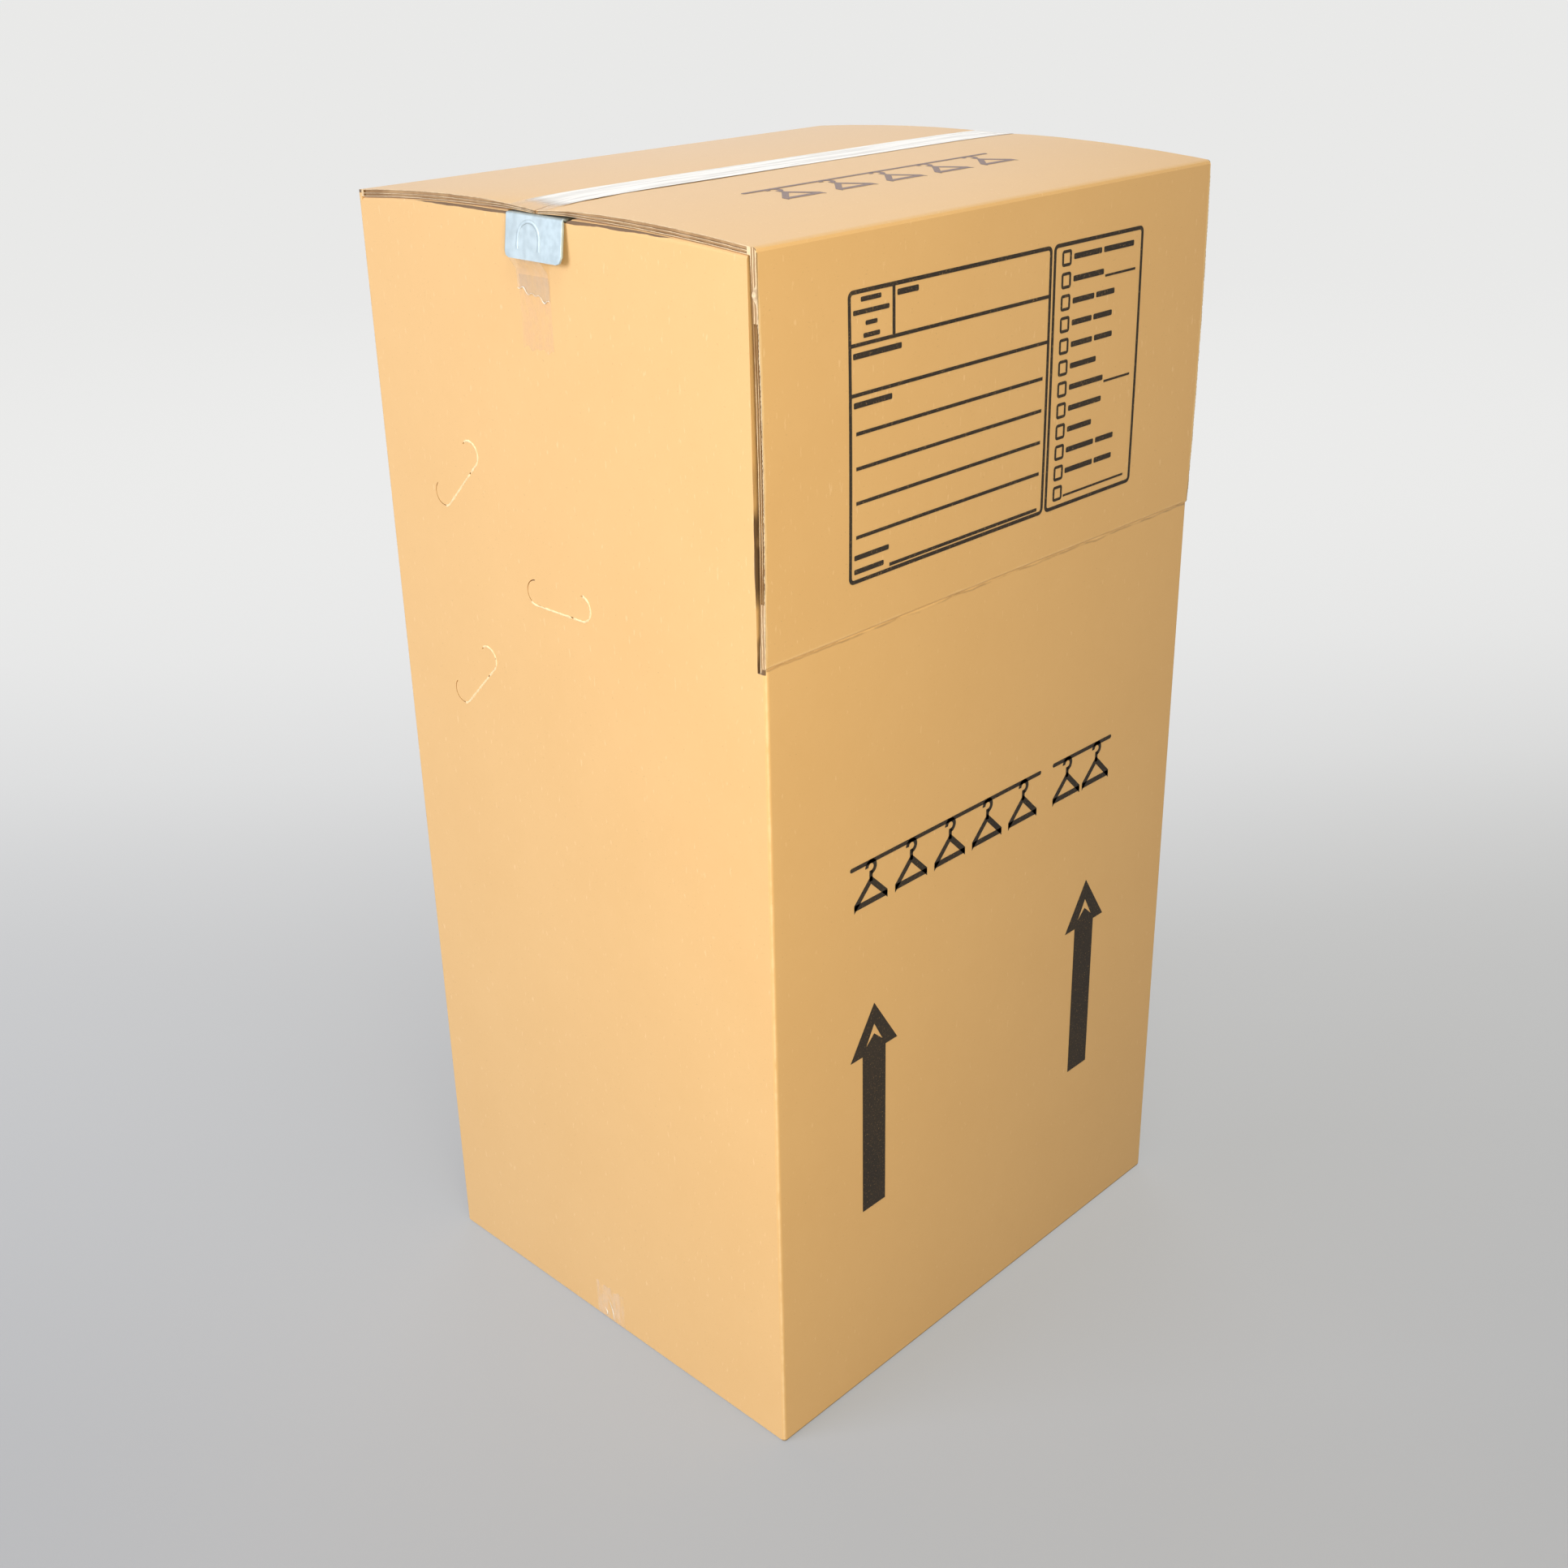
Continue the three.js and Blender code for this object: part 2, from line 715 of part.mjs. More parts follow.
function topTapeStations() {
  const overTab = tabStandoff + filmClearance;
  const diagonal = (tabBendRadius + filmClearance) * Math.SQRT1_2;
  const foot = webTop - tabHeight;
  const level = (run, z) => ({ run, out: [-1, 0], z: () => z });
  const tail = [
    { run: -overOldTape, out: [-1, 0], z: (y) => boxHeight - topTapeTail + torn(y) },
    level(-overOldTape, boxHeight - oldTapeTop - film),
    level(-overOldTape, boxHeight - oldTapeTop + topTapeLift),
    level(-overTab - tabSplay, foot - film),
    level(-overTab, webTop - tabBendRadius),
    {
      run: tabBendRadius - tabStandoff - diagonal,
      out: [-Math.SQRT1_2, Math.SQRT1_2],
      z: () => webTop - tabBendRadius + diagonal,
    },
    { run: -filmClearance, out: [-1, 0], z: (y, side) => flapTop(side * halfWidth, y) },
  ];
  const top = alongTop
    .filter((x) => Math.abs(x) < halfWidth)
    .map((x) => ({ x, out: [0, 1], z: (y) => flapTop(x, y) + filmClearance }));
  const ends = [-1, 1].map((side) => ({
    x: side * (halfWidth - filmClearance),
    out: [0, 1],
    z: (y) => flapTop(side * halfWidth, y) + filmClearance,
  }));
  const walls = bothEnds(tail);
  const left = walls.filter(({ side }) => side < 0);
  const right = walls.filter(({ side }) => side > 0);
  return [...left, ends[0], ...top, ends[1], ...right];
}

function makeTopTape() {
  const stations = topTapeStations();
  return sheet(stations.length - 1, tapeShares.length - 1, (i, j, outer) => {
    const { run, x, side, out, z } = stations[i];
    const lift = outer ? film : 0;
    const place = x ?? side * (halfWidth - run - out[0] * lift);
    const width = x === undefined && run < -filmClearance ? topTapeTailWidth : topTapeWidth;
    const y = tapeCentre(place) + tapeShares[j] * width;
    return [place, y, z(y, side) + out[1] * lift];
  });
}

// A strip of an older tape, still stuck to the wall under the top tape's tail
function makeOldTape() {
  const levels = [oldTapeBottom, (oldTapeBottom + oldTapeTop) / 2, oldTapeTop];
  return sheet(levels.length - 1, tapeShares.length - 1, (i, j, outer) => {
    const y = oldTapeCentre + tapeShares[j] * oldTapeWidth;
    const x = -halfWidth - filmClearance - (outer ? film : 0);
    return [x, y, boxHeight - levels[i] + (i === 0 ? torn(y) : 0)];
  });
}

// Bottom tape: up the left wall, under the bottom flaps, and up the right wall
function makeBottomTape() {
  const under = tapeBedDepth - filmClearance;
  const aroundFold = foldRadius - (foldRadius + filmClearance) * Math.SQRT1_2;
  const half = [
    { run: -filmClearance, out: [-1, 0], z: bottomTapeTail, torn: true },
    { run: -filmClearance, out: [-1, 0], z: foldRadius },
    { run: aroundFold, out: [-Math.SQRT1_2, -Math.SQRT1_2], z: aroundFold },
    { run: foldRadius, out: [0, -1], z: under },
  ];
  const stations = bothEnds(half);
  return sheet(stations.length - 1, tapeShares.length - 1, (i, j, outer) => {
    const { run, out, z, side } = stations[i];
    const lift = outer ? film : 0;
    const y = bottomTapeCentre - tapeShares[j] * bottomTapeWidth;
    const ragged = stations[i].torn ? torn(y) : 0;
    return [side * (halfWidth - run - out[0] * lift), y, z + ragged + out[1] * lift];
  });
}

// Print: ink that follows the board, cut to its outlines
function fromFrontCorner(left, top) {
  return new THREE.Vector2(left - halfWidth, boxHeight - top);
}

function fieldShape({ left, right, top, bottom }, corner = 0) {
  if (corner === 0) {
    const corners = [[left, bottom], [right, bottom], [right, top], [left, top]];
    return new THREE.Shape(corners.map((place) => fromFrontCorner(...place)));
  }
  const middle = fromFrontCorner((left + right) / 2, (top + bottom) / 2);
  const shape = roundedRectangle(right - left, bottom - top, corner);
  return new THREE.Shape(shape.getPoints(cornerSegments).map((point) => point.add(middle)));
}

// Stretches a flat outline in X and Z into a block that reaches through the front
function throughFront(shape) {
  const depth = 4 * beyond;
  const turn = new THREE.Matrix4().makeRotationX(Math.PI / 2);
  const options = { depth, bevelEnabled: false, curveSegments: hookSegments };
  const through = new THREE.ExtrudeGeometry(shape, options);
  return toSolid(through.applyMatrix4(turn).translate(0, depth / 2 - halfDepth, 0));
}

function fieldBlock(area, corner = 0) {
  return throughFront(fieldShape(area, corner));
}

function outlineBlock({ left, right, top, bottom }, corner, line) {
  const hole = { left: left + line, right: right - line, top: top + line, bottom: bottom - line };
  return fieldBlock({ left, right, top, bottom }, corner).subtract(fieldBlock(hole, corner - line));
}

function cornersBlock(corners) {
  return throughFront(new THREE.Shape(corners.map((place) => fromFrontCorner(...place))));
}

function ruleBlock({ left, right, top }) {
  return fieldBlock({ left, right, top, bottom: top + ruleLine });
}

const frontInk = spaceBetween(
  alongDoor,
  [board, ...upDoor, boxHeight - foldRadius],
  (x, z) => -halfDepth - doorOut(x, z) - inkClearance,
  (x, z) => -halfDepth - doorOut(x, z) - inkClearance - inkThickness,
);

function makeLabelFrame() {
  const { left, right, top } = labelFrame;
  const inside = frameLine / 2;
  const tagSide = { left: tagBoxRight - frameLine, right: tagBoxRight };
  const parts = [
    fieldBlock({ ...tagSide, top: top + inside, bottom: tagRule + inside }),
    ruleBlock({ left: left + inside, right: right - inside, top: tagRule }),
    ruleBlock({ left: left + inside, right: right - inside, top: numberRule }),
  ];
  return parts.reduce((solid, part) => solid.add(part), outlineBlock(labelFrame, frameCorner, frameLine));
}

function makeCheckBox(row) {
  const top = firstCheckBox + row * checkBoxPitch;
  const area = { left: checkBoxLeft, right: checkBoxLeft + checkBoxSize, top, bottom: top + checkBoxSize };
  return outlineBlock(area, checkBoxCorner, checkBoxLine);
}

// An arrow that points up, with a chevron cut out of its head
function makeArrow({ middle, tip, headBase, bottom }) {
  const half = arrowShaftWidth / 2;
  const arrow = cornersBlock([
    [middle - half, bottom],
    [middle + half, bottom],
    [middle + half, headBase],
    [middle + arrowHeadWidth / 2, headBase],
    [middle, tip],
    [middle - arrowHeadWidth / 2, headBase],
    [middle - half, headBase],
  ]);
  const cutTop = tip + arrowCutDrop;
  const cut = cornersBlock([
    [middle - arrowCutWidth / 2, cutTop + arrowCutHeight],
    [middle, cutTop + arrowCutHeight / 2],
    [middle + arrowCutWidth / 2, cutTop + arrowCutHeight],
    [middle, cutTop],
  ]);
  return arrow.subtract(cut);
}

// One coat hanger under its rail: hook, shoulders and bar
function makeHanger(middle, top) {
  const half = hangerWidth / 2;
  const bottom = top + hangerHeight;
  const peak = top + hangerShoulder;
  const rise = hangerLine * Math.SQRT2;
  const body = cornersBlock([
    [middle - half, bottom],
    [middle + half, bottom],
    [middle + half, bottom - hangerLine],
    [middle, peak],
    [middle - half, bottom - hangerLine],
  ]);
  const inside = cornersBlock([
    [middle - half + rise, bottom - hangerLine],
    [middle + half - rise, bottom - hangerLine],
    [middle, peak + rise],
  ]);
  const hook = new THREE.Shape();
  const centre = fromFrontCorner(middle, top + hangerHook);
  hook.absarc(centre.x, centre.y, hangerHook, -Math.PI / 2, Math.PI, false);
  hook.absarc(centre.x, centre.y, hangerHook - railLine, Math.PI, -Math.PI / 2, true);
  const neck = { left: middle - railLine / 2, right: middle + railLine / 2, bottom: peak + hangerLine };
  const neckTop = top + 2 * hangerHook - railLine;
  return body.subtract(inside).add(throughFront(hook)).add(fieldBlock({ ...neck, top: neckTop }));
}

function makeHangerRow({ left, right, top, count }) {
  const pitch = (right - left) / count;
  const rail = fieldBlock({ left, right, top, bottom: top + railLine });
  const hangers = Array.from({ length: count }, (_, k) => makeHanger(left + pitch * (k + 1 / 2), top));
  return hangers.reduce((solid, hanger) => solid.add(hanger), rail);
}

// A row drawn for the front, laid back over the front top flap
function makeTopHangerRow({ fromFold, ...row }) {
  const laidBack = new THREE.Matrix4()
    .makeTranslation(0, -halfDepth, boxHeight)
    .multiply(new THREE.Matrix4().makeRotationX(-Math.PI / 2))
    .multiply(new THREE.Matrix4().makeTranslation(0, halfDepth, -boxHeight));
  const outline = makeHangerRow({ ...row, top: -fromFold });
  const lift = (depth) => spaceAbove(alongTop, acrossFlaps, (x, y) => flapTop(x, y) + depth);
  const ink = lift(inkClearance).subtract(lift(inkClearance + inkThickness));
  return toSolid(toGeometry(outline).applyMatrix4(laidBack)).intersect(ink);
}

function printedNodes() {
  const onFront = [
    ["label_frame", makeLabelFrame()],
    ["check_list_frame", outlineBlock(checkFrame, frameCorner, frameLine)],
    ...labelRules.map((rule, k) => [`label_rule_${k + 1}`, ruleBlock(rule)]),
    ...Array.from({ length: checkBoxCount }, (_, k) => [`check_box_${k + 1}`, makeCheckBox(k)]),
    ...arrows.map((arrow) => [arrow.name, makeArrow(arrow)]),
    ...hangerRows.map((row) => [row.name, makeHangerRow(row)]),
  ];
  return [
    ...onFront.map(([name, solid]) => [name, toGeometry(solid.intersect(frontInk)), inkMaterial]),
    [topHangerRow.name, toGeometry(makeTopHangerRow(topHangerRow)), fadedInkMaterial],
  ];
}

const bodyParts = [
  ["carton", makeCarton(), kraftMaterial],
  ["hanger_bar", makeHangerBar(), steelMaterial],
  ["top_tape", makeTopTape(), filmMaterial],
  ["old_tape_strip", makeOldTape(), filmMaterial],
  ["bottom_tape", makeBottomTape(), filmMaterial],
  ...printedNodes(),
];

const wardrobeBox = new THREE.Group();
bodyParts.forEach(([name, geometry, material]) => {
  const mesh = new THREE.Mesh(geometry, material);
  mesh.name = name;
  wardrobeBox.add(mesh);
});

export default wardrobeBox;
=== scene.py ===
"""Looks of a wardrobe moving box of kraft board, closed and taped, with its steel hanger bar.

Metres, +Z up. The front, with the drop-front door and the print, faces -Y.
"""

import math

import bpy
from mathutils import Euler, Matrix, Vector, noise


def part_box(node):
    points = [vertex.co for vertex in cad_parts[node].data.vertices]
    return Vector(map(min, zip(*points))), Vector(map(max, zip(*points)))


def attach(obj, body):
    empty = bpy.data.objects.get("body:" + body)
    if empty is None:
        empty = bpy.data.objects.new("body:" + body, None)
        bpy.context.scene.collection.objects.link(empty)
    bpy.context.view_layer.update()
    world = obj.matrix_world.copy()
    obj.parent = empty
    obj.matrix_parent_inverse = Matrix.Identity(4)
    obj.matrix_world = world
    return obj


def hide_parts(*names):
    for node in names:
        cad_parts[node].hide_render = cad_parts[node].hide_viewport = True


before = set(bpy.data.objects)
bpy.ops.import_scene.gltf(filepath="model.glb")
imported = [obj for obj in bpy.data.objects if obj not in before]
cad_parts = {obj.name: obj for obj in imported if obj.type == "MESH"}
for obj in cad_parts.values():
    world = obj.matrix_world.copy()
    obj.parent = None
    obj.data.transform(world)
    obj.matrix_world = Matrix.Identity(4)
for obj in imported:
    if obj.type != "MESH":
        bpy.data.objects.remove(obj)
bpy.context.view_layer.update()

MM = 0.001
BODY = "root"
SIDES = ((-1, "left"), (1, "right"))
MERGE_REACH = 0.001 * MM

# Box, as the frame gives it
carton_high = Vector(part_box("carton")[1])
HALF_WIDTH = carton_high.x
HALF_DEPTH = carton_high.y
FLAP_CROWN = 11.2 * MM
HEIGHT = carton_high.z - FLAP_CROWN
BOARD = 6.4 * MM

# Shape of the top flaps
CROWN_POWER = 0.8
END_DIP_LEFT = 6.9 * MM
END_DIP_RIGHT = 2.3 * MM
END_DIP_REACH = 40 * MM
END_DIP_POWER = 4
END_CRUSH = 3.9 * MM
END_CRUSH_SPREAD = 60 * MM
END_CRUSH_REACH = 20 * MM
FOLD_RADIUS = 3 * MM

# Drop-front door
DOOR_HEIGHT = 338 * MM
CREASE_LEVEL = HEIGHT - DOOR_HEIGHT
DOOR_SLOT_HEIGHT = 343 * MM
DOOR_BOW = 0.8 * MM
DOOR_BOW_LEFT = 2.4 * MM
DOOR_BOW_RIGHT = 1 * MM
DOOR_BOW_REACH = 100 * MM
FLUTE_DEPTH = 2 * MM

# Hanger bar's tab
TAB_HEIGHT = 37 * MM
TAB_STANDOFF = 3.4 * MM
TAB_SPLAY = 4.8 * MM
TAB_BEND = 2.2 * MM
BAR_END_WIDTH = 74.3 * MM
BAR_FROM_REAR = 221.3 * MM
WEB_TOP = HEIGHT + 1.3 * MM

# Camera
CAMERA_PLACE = (-1.3189, -1.2697, 1.4077)
CAMERA_TURN = (65.76, 1.09, -45.92)
CAMERA_LENS = 43.36
CAMERA_SHIFT = (0.0012, -0.0253)


def clamp(value, low, high):
    return max(low, min(high, value))


def end_share(x, reach):
    left = min(math.exp(-(x + HALF_WIDTH) / reach), 1)
    right = min(math.exp((x - HALF_WIDTH) / reach), 1)
    return left, right


def flap_surface(x, y):
    share = clamp((HALF_DEPTH - abs(y)) / HALF_DEPTH, 0, 1)
    crown = FLAP_CROWN * math.sin(share * math.pi / 2) ** CROWN_POWER
    left, right = end_share(x, END_DIP_REACH)
    return HEIGHT + crown - (END_DIP_LEFT * left + END_DIP_RIGHT * right) * share ** END_DIP_POWER


def flap_thickness(x, y):
    left, _ = end_share(x, END_CRUSH_REACH)
    return BOARD - END_CRUSH * left * math.exp(-((y / END_CRUSH_SPREAD) ** 2))


def door_out(x, z):
    left, right = end_share(x, DOOR_BOW_REACH)
    rise = clamp((z - CREASE_LEVEL) / DOOR_HEIGHT, 0, 1)
    return (DOOR_BOW + DOOR_BOW_LEFT * left + DOOR_BOW_RIGHT * right) * math.sin(rise * math.pi)


# Modelling helpers
def leave_edit_mode():
    if bpy.context.object and bpy.context.object.mode != "OBJECT":
        bpy.ops.object.mode_set(mode="OBJECT")


def deselect_all():
    leave_edit_mode()
    bpy.ops.object.select_all(action="DESELECT")


def pick(*pieces):
    deselect_all()
    for piece in pieces:
        piece.select_set(True)
    bpy.context.view_layer.objects.active = pieces[0]


def edit_all(piece):
    pick(piece)
    bpy.ops.object.mode_set(mode="EDIT")
    bpy.ops.mesh.select_all(action="SELECT")


def settle(piece):
    pick(piece)
    bpy.ops.object.transform_apply(location=True, rotation=True, scale=True)


def join(pieces, name):
    pick(*pieces)
    if len(pieces) > 1:
        bpy.ops.object.join()
    piece = bpy.context.object
    piece.name = name
    piece.data.name = name
    return piece


def apply_modifier(piece, kind, **settings):
    pick(piece)
    modifier = piece.modifiers.new(kind.lower(), kind)
    for key, value in settings.items():
        setattr(modifier, key, value)
    bpy.ops.object.modifier_apply(modifier=modifier.name)


def smooth(piece, degrees=30):
    pick(piece)
    bpy.ops.object.shade_smooth_by_angle(angle=math.radians(degrees))


def finish_piece(piece, material, slot_name, *replaced):
    if material:
        piece.data.materials.clear()
        piece.data.materials.append(material)
    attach(piece, BODY)
    if replaced:
        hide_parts(*replaced)
    return piece


def ribbon(name, along, across, place):
    """A strip of along by across cells, whose points place(i, j) puts where they belong."""
    deselect_all()
    bpy.ops.mesh.primitive_grid_add(x_subdivisions=along, y_subdivisions=across, size=1)
    strip = bpy.context.object
    strip.name = name
    strip.data.name = name
    for vertex in strip.data.vertices:
        i = round((vertex.co.x + 0.5) * along)
        j = round((vertex.co.y + 0.5) * across)
        vertex.co = place(i, j)
    return strip


def make_sheet(name, cells, place, thickness, finish, offset=0, degrees=60):
    """A finished piece made of a ribbon of cells along and across, with a thickness."""
    sheet = ribbon(name, *cells, place)
    apply_modifier(sheet, "SOLIDIFY", thickness=thickness, offset=offset)
    smooth(sheet, degrees)
    return finish_piece(sheet, *finish)


def copy_node(node_name, piece_name, shift=None):
    """A piece with a node's own mesh, its doubled points merged."""
    piece = bpy.data.objects.new(piece_name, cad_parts[node_name].data.copy())
    bpy.context.scene.collection.objects.link(piece)
    edit_all(piece)
    bpy.ops.mesh.customdata_custom_splitnormals_clear()
    bpy.ops.mesh.remove_doubles(threshold=MERGE_REACH)
    if shift:
        bpy.ops.transform.translate(value=shift)
    leave_edit_mode()
    return piece


def wander(x, y, z):
    """Smooth noise about nought, the same in every run."""
    return noise.noise(Vector((x, y, z)))


def taper(step, steps, reach=6, least=0):
    """1 along a strip's middle, falling to least over the last steps at either end."""
    return clamp(min(step, steps - step) / reach, least, 1)


# Material helpers
def new_material(name):
    material = bpy.data.materials.new(name)
    material.use_nodes = True
    tree = material.node_tree
    return material, tree, tree.nodes["Principled BSDF"].inputs


def set_socket(tree, socket, value):
    if isinstance(value, bpy.types.NodeSocket):
        tree.links.new(value, socket)
    elif value is not None:
        socket.default_value = value


def feed(tree, sockets, **values):
    """Gives each named socket its number or colour, or links it to an output."""
    for label, value in values.items():
        set_socket(tree, sockets[label.replace("_", " ")], value)


def new_group(name, inputs, outputs):
    """A group of shader nodes, whose sockets are all plain numbers."""
    group = bpy.data.node_groups.new(name, "ShaderNodeTree")
    kind = "NodeSocketFloat"
    for label, default in inputs.items():
        socket = group.interface.new_socket(name=label, in_out="INPUT", socket_type=kind)
        socket.default_value = default
    for label in outputs:
        group.interface.new_socket(name=label, in_out="OUTPUT", socket_type=kind)
    start = group.nodes.new("NodeGroupInput")
    end = group.nodes.new("NodeGroupOutput")
    return group, start.outputs, end.inputs


def place_group(tree, group, **values):
    node = tree.nodes.new("ShaderNodeGroup")
    node.node_tree = group
    feed(tree, node.inputs, **values)
    return node.outputs


def math_node(tree, operation, a, b=None, limit=False):
    node = tree.nodes.new("ShaderNodeMath")
    node.operation = operation
    node.use_clamp = limit
    for socket, value in zip(node.inputs, (a, b)):
        set_socket(tree, socket, value)
    return node.outputs[0]


def plus(tree, a, b, limit=False):
    return math_node(tree, "ADD", a, b, limit)


def minus(tree, a, b, limit=False):
    return math_node(tree, "SUBTRACT", a, b, limit)


def times(tree, first, *others):
    for other in others:
        first = math_node(tree, "MULTIPLY", first, other)
    return first


def absolute(tree, value):
    return math_node(tree, "ABSOLUTE", value)


def is_under(tree, value, limit):
    return math_node(tree, "LESS_THAN", value, limit)


def is_over(tree, value, limit):
    return math_node(tree, "GREATER_THAN", value, limit)


def noise_node(tree, vector, scale, detail=4, roughness=0.5, stretch=(1, 1, 1)):
    mapping = tree.nodes.new("ShaderNodeMapping")
    feed(tree, mapping.inputs, Scale=stretch, Vector=vector)
    place = mapping.outputs["Vector"]
    texture = tree.nodes.new("ShaderNodeTexNoise")
    feed(tree, texture.inputs, Scale=scale, Detail=detail, Roughness=roughness, Vector=place)
    return texture.outputs["Fac"]


def ramp(tree, value, low, high):
    node = tree.nodes.new("ShaderNodeMapRange")
    node.interpolation_type = "SMOOTHSTEP"
    feed(tree, node.inputs, Value=value, From_Min=low, From_Max=high)
    return node.outputs["Result"]


def fade_out(tree, value, low, high):
    """1 up to low, falling to 0 at high."""
    return minus(tree, 1, ramp(tree, value, low, high), limit=True)


def at_least(tree, least, share):
    """A share lifted so that it runs from least to 1."""
    return plus(tree, least, times(tree, share, 1 - least))


def mix_colours(tree, share, a, b):
    node = tree.nodes.new("ShaderNodeMix")
    node.data_type = "RGBA"
    colour_sockets = [s for s in node.inputs if s.type == "RGBA"]
    for socket, value in zip((node.inputs[0], *colour_sockets), (share, a, b)):
        set_socket(tree, socket, value)
    return [s for s in node.outputs if s.type == "RGBA"][0]


def tinted(tree, base, colour, mask, strength):
    """The base colour turned towards another one where a mask shows."""
    return mix_colours(tree, times(tree, mask, strength), base, colour)


def object_place(tree):
    return tree.nodes.new("ShaderNodeTexCoord").outputs["Object"]


def object_axes(tree):
    split = tree.nodes.new("ShaderNodeSeparateXYZ")
    tree.links.new(object_place(tree), split.inputs["Vector"])
    return split.outputs["X"], split.outputs["Y"], split.outputs["Z"]


def add_bump(tree, shader, height, distance, strength):
    bump = tree.nodes.new("ShaderNodeBump")
    feed(tree, bump.inputs, Distance=distance, Strength=strength, Height=height)
    feed(tree, shader, Normal=bump.outputs["Normal"])


# Shared effects
CREASE_WAVE = 7 * MM
CREASE_BANDS = (("Pale", 1.6 * MM, 2.0 * MM), ("Dark", -1.2 * MM, 1.5 * MM))

# Painted shade in the gaps and painted contact shadow along the front's foot: how blurred the gaps'
# shade is, how far round a corner it shows, and where it starts and ends
FLAP_GAP_BLUR = 0.6 * MM
FLAP_GAP_TOP = -0.5 * MM
FLAP_GAP_ROUND = 0.8 * MM
DOOR_GAP_BLUR = 0.5 * MM
DOOR_GAP_WIDTH = 3.4 * MM
DOOR_GAP_WIDENS = (60 * MM, 260 * MM)
DOOR_GAP_FRONT = -6 * MM
DOOR_GAP_TOP = 4 * MM
DOOR_FACE = 1.2 * MM
SIDE_REACH = 8 * MM
FOOT_SHADOW_LINE = (1.8 * MM, 4.0 * MM)
FOOT_ROUND = 4 * MM
FOOT_SHADOW_STRENGTH = 0.85


def paper_fibre_group():
    """Mottle, dark and pale specks, and the fine relief of kraft paper."""
    group, given, results = new_group(
        "paper_fibres",
        {"Speck Amount": 0.5},
        ("Mottle", "Dark Specks", "Pale Specks", "Height"),
    )
    place = object_place(group)
    amount = given["Speck Amount"]
    broad = noise_node(group, place, 9, 3)
    cloudy = noise_node(group, place, 60, 5, 0.6)
    mottle = plus(group, times(group, broad, 0.6), times(group, cloudy, 0.4))
    long_fibres = noise_node(group, place, 330, 2, 0.5, (1, 1, 0.3))
    short_fibres = noise_node(group, place, 420, 2, 0.5, (1, 1, 1.6))
    dark = times(group, ramp(group, short_fibres, 0.68, 0.78), amount)
    pale = times(group, ramp(group, long_fibres, 0.66, 0.76), amount)
    fine = noise_node(group, place, 900, 3, 0.6)
    height = plus(group, times(group, fine, 0.5), times(group, long_fibres, 0.5))
    feed(group, results, Mottle=mottle, Dark_Specks=dark, Pale_Specks=pale, Height=height)
    return group


def worn_edge_group():
    """A mask along the box's upright corners and its bottom, with a wavy inner edge."""
    group, given, results = new_group("worn_edges", {"Band": 2 * MM}, ("Mask",))
    x, y, z = object_axes(group)
    from_side = minus(group, HALF_WIDTH, absolute(group, x))
    from_front = minus(group, HALF_DEPTH, absolute(group, y))
    nearer = math_node(group, "MINIMUM", from_side, from_front)
    farther = math_node(group, "MAXIMUM", from_side, from_front)
    edge = math_node(group, "MAXIMUM", nearer, math_node(group, "MINIMUM", farther, z))
    wobble = noise_node(group, object_place(group), 55, 4, 0.6)
    band = times(group, given["Band"], times(group, wobble, 2.2))
    share = math_node(group, "DIVIDE", edge, band)
    feed(group, results, Mask=fade_out(group, share, 0.35, 1.0))
    return group


def crease_group():
    """Two wavy lines along the door's crease: a pale one and a darker one under it."""
    group, given, results = new_group("crease_lines", {"Level": CREASE_LEVEL}, ("Pale", "Dark"))
    place = object_place(group)
    _, y, z = object_axes(group)
    wave = times(group, minus(group, noise_node(group, place, 22, 3), 0.5), CREASE_WAVE)
    height = plus(group, minus(group, z, given["Level"]), wave)
    on_front = is_under(group, y, MM - HALF_DEPTH)
    patchy = ramp(group, noise_node(group, place, 30, 4, 0.6), 0.3, 0.6)
    for label, centre, reach in CREASE_BANDS:
        away = absolute(group, minus(group, height, centre))
        line = times(group, fade_out(group, away, 0, reach), on_front, patchy)
        feed(group, results, **{label: line})
    return group


def gap_shade_group():
    """Painted shade: wavering dark lines under the flaps' ends and behind the door's edges, and a
    painted contact shadow along the front's foot.
    """
    group, given, results = new_group("gap_shade", {"Depth": 2 * MM}, ("Mask",))
    place = object_place(group)
    x, y, z = object_axes(group)
    from_side = minus(group, HALF_WIDTH, absolute(group, x))
    from_front = plus(group, y, HALF_DEPTH)
    from_top = minus(group, HEIGHT, z)

    reach = times(group, noise_node(group, place, 30, 3), given["Depth"])
    under_flap = times(
        group,
        fade_out(group, minus(group, from_top, reach), 0, FLAP_GAP_BLUR),
        is_over(group, from_top, FLAP_GAP_TOP),
        is_under(group, from_side, FLAP_GAP_ROUND),
    )

    behind = plus(group, y, HALF_DEPTH - BOARD)
    widens = plus(group, 0.75, ramp(group, from_top, *DOOR_GAP_WIDENS))
    width = times(group, noise_node(group, place, 14, 2), widens, DOOR_GAP_WIDTH)
    behind_door = times(
        group,
        fade_out(group, minus(group, behind, width), 0, DOOR_GAP_BLUR),
        is_over(group, behind, DOOR_GAP_FRONT),
        is_under(group, from_top, DOOR_SLOT_HEIGHT),
        is_over(group, from_top, DOOR_GAP_TOP),
        is_over(group, from_front, DOOR_FACE),
    )

    both = math_node(group, "MAXIMUM", under_flap, behind_door)
    on_side = times(group, both, is_under(group, from_side, SIDE_REACH))
    on_front = is_under(group, from_front, FOOT_ROUND)
    # painted contact shadow along the bottom of the front
    foot = times(group, fade_out(group, z, *FOOT_SHADOW_LINE), on_front, FOOT_SHADOW_STRENGTH)
    feed(group, results, Mask=math_node(group, "MAXIMUM", on_side, foot))
    return group


PAPER_FIBRES = paper_fibre_group()
GAP_SHADE = gap_shade_group()
CREASE_LINES = crease_group()
WORN_EDGES = worn_edge_group()

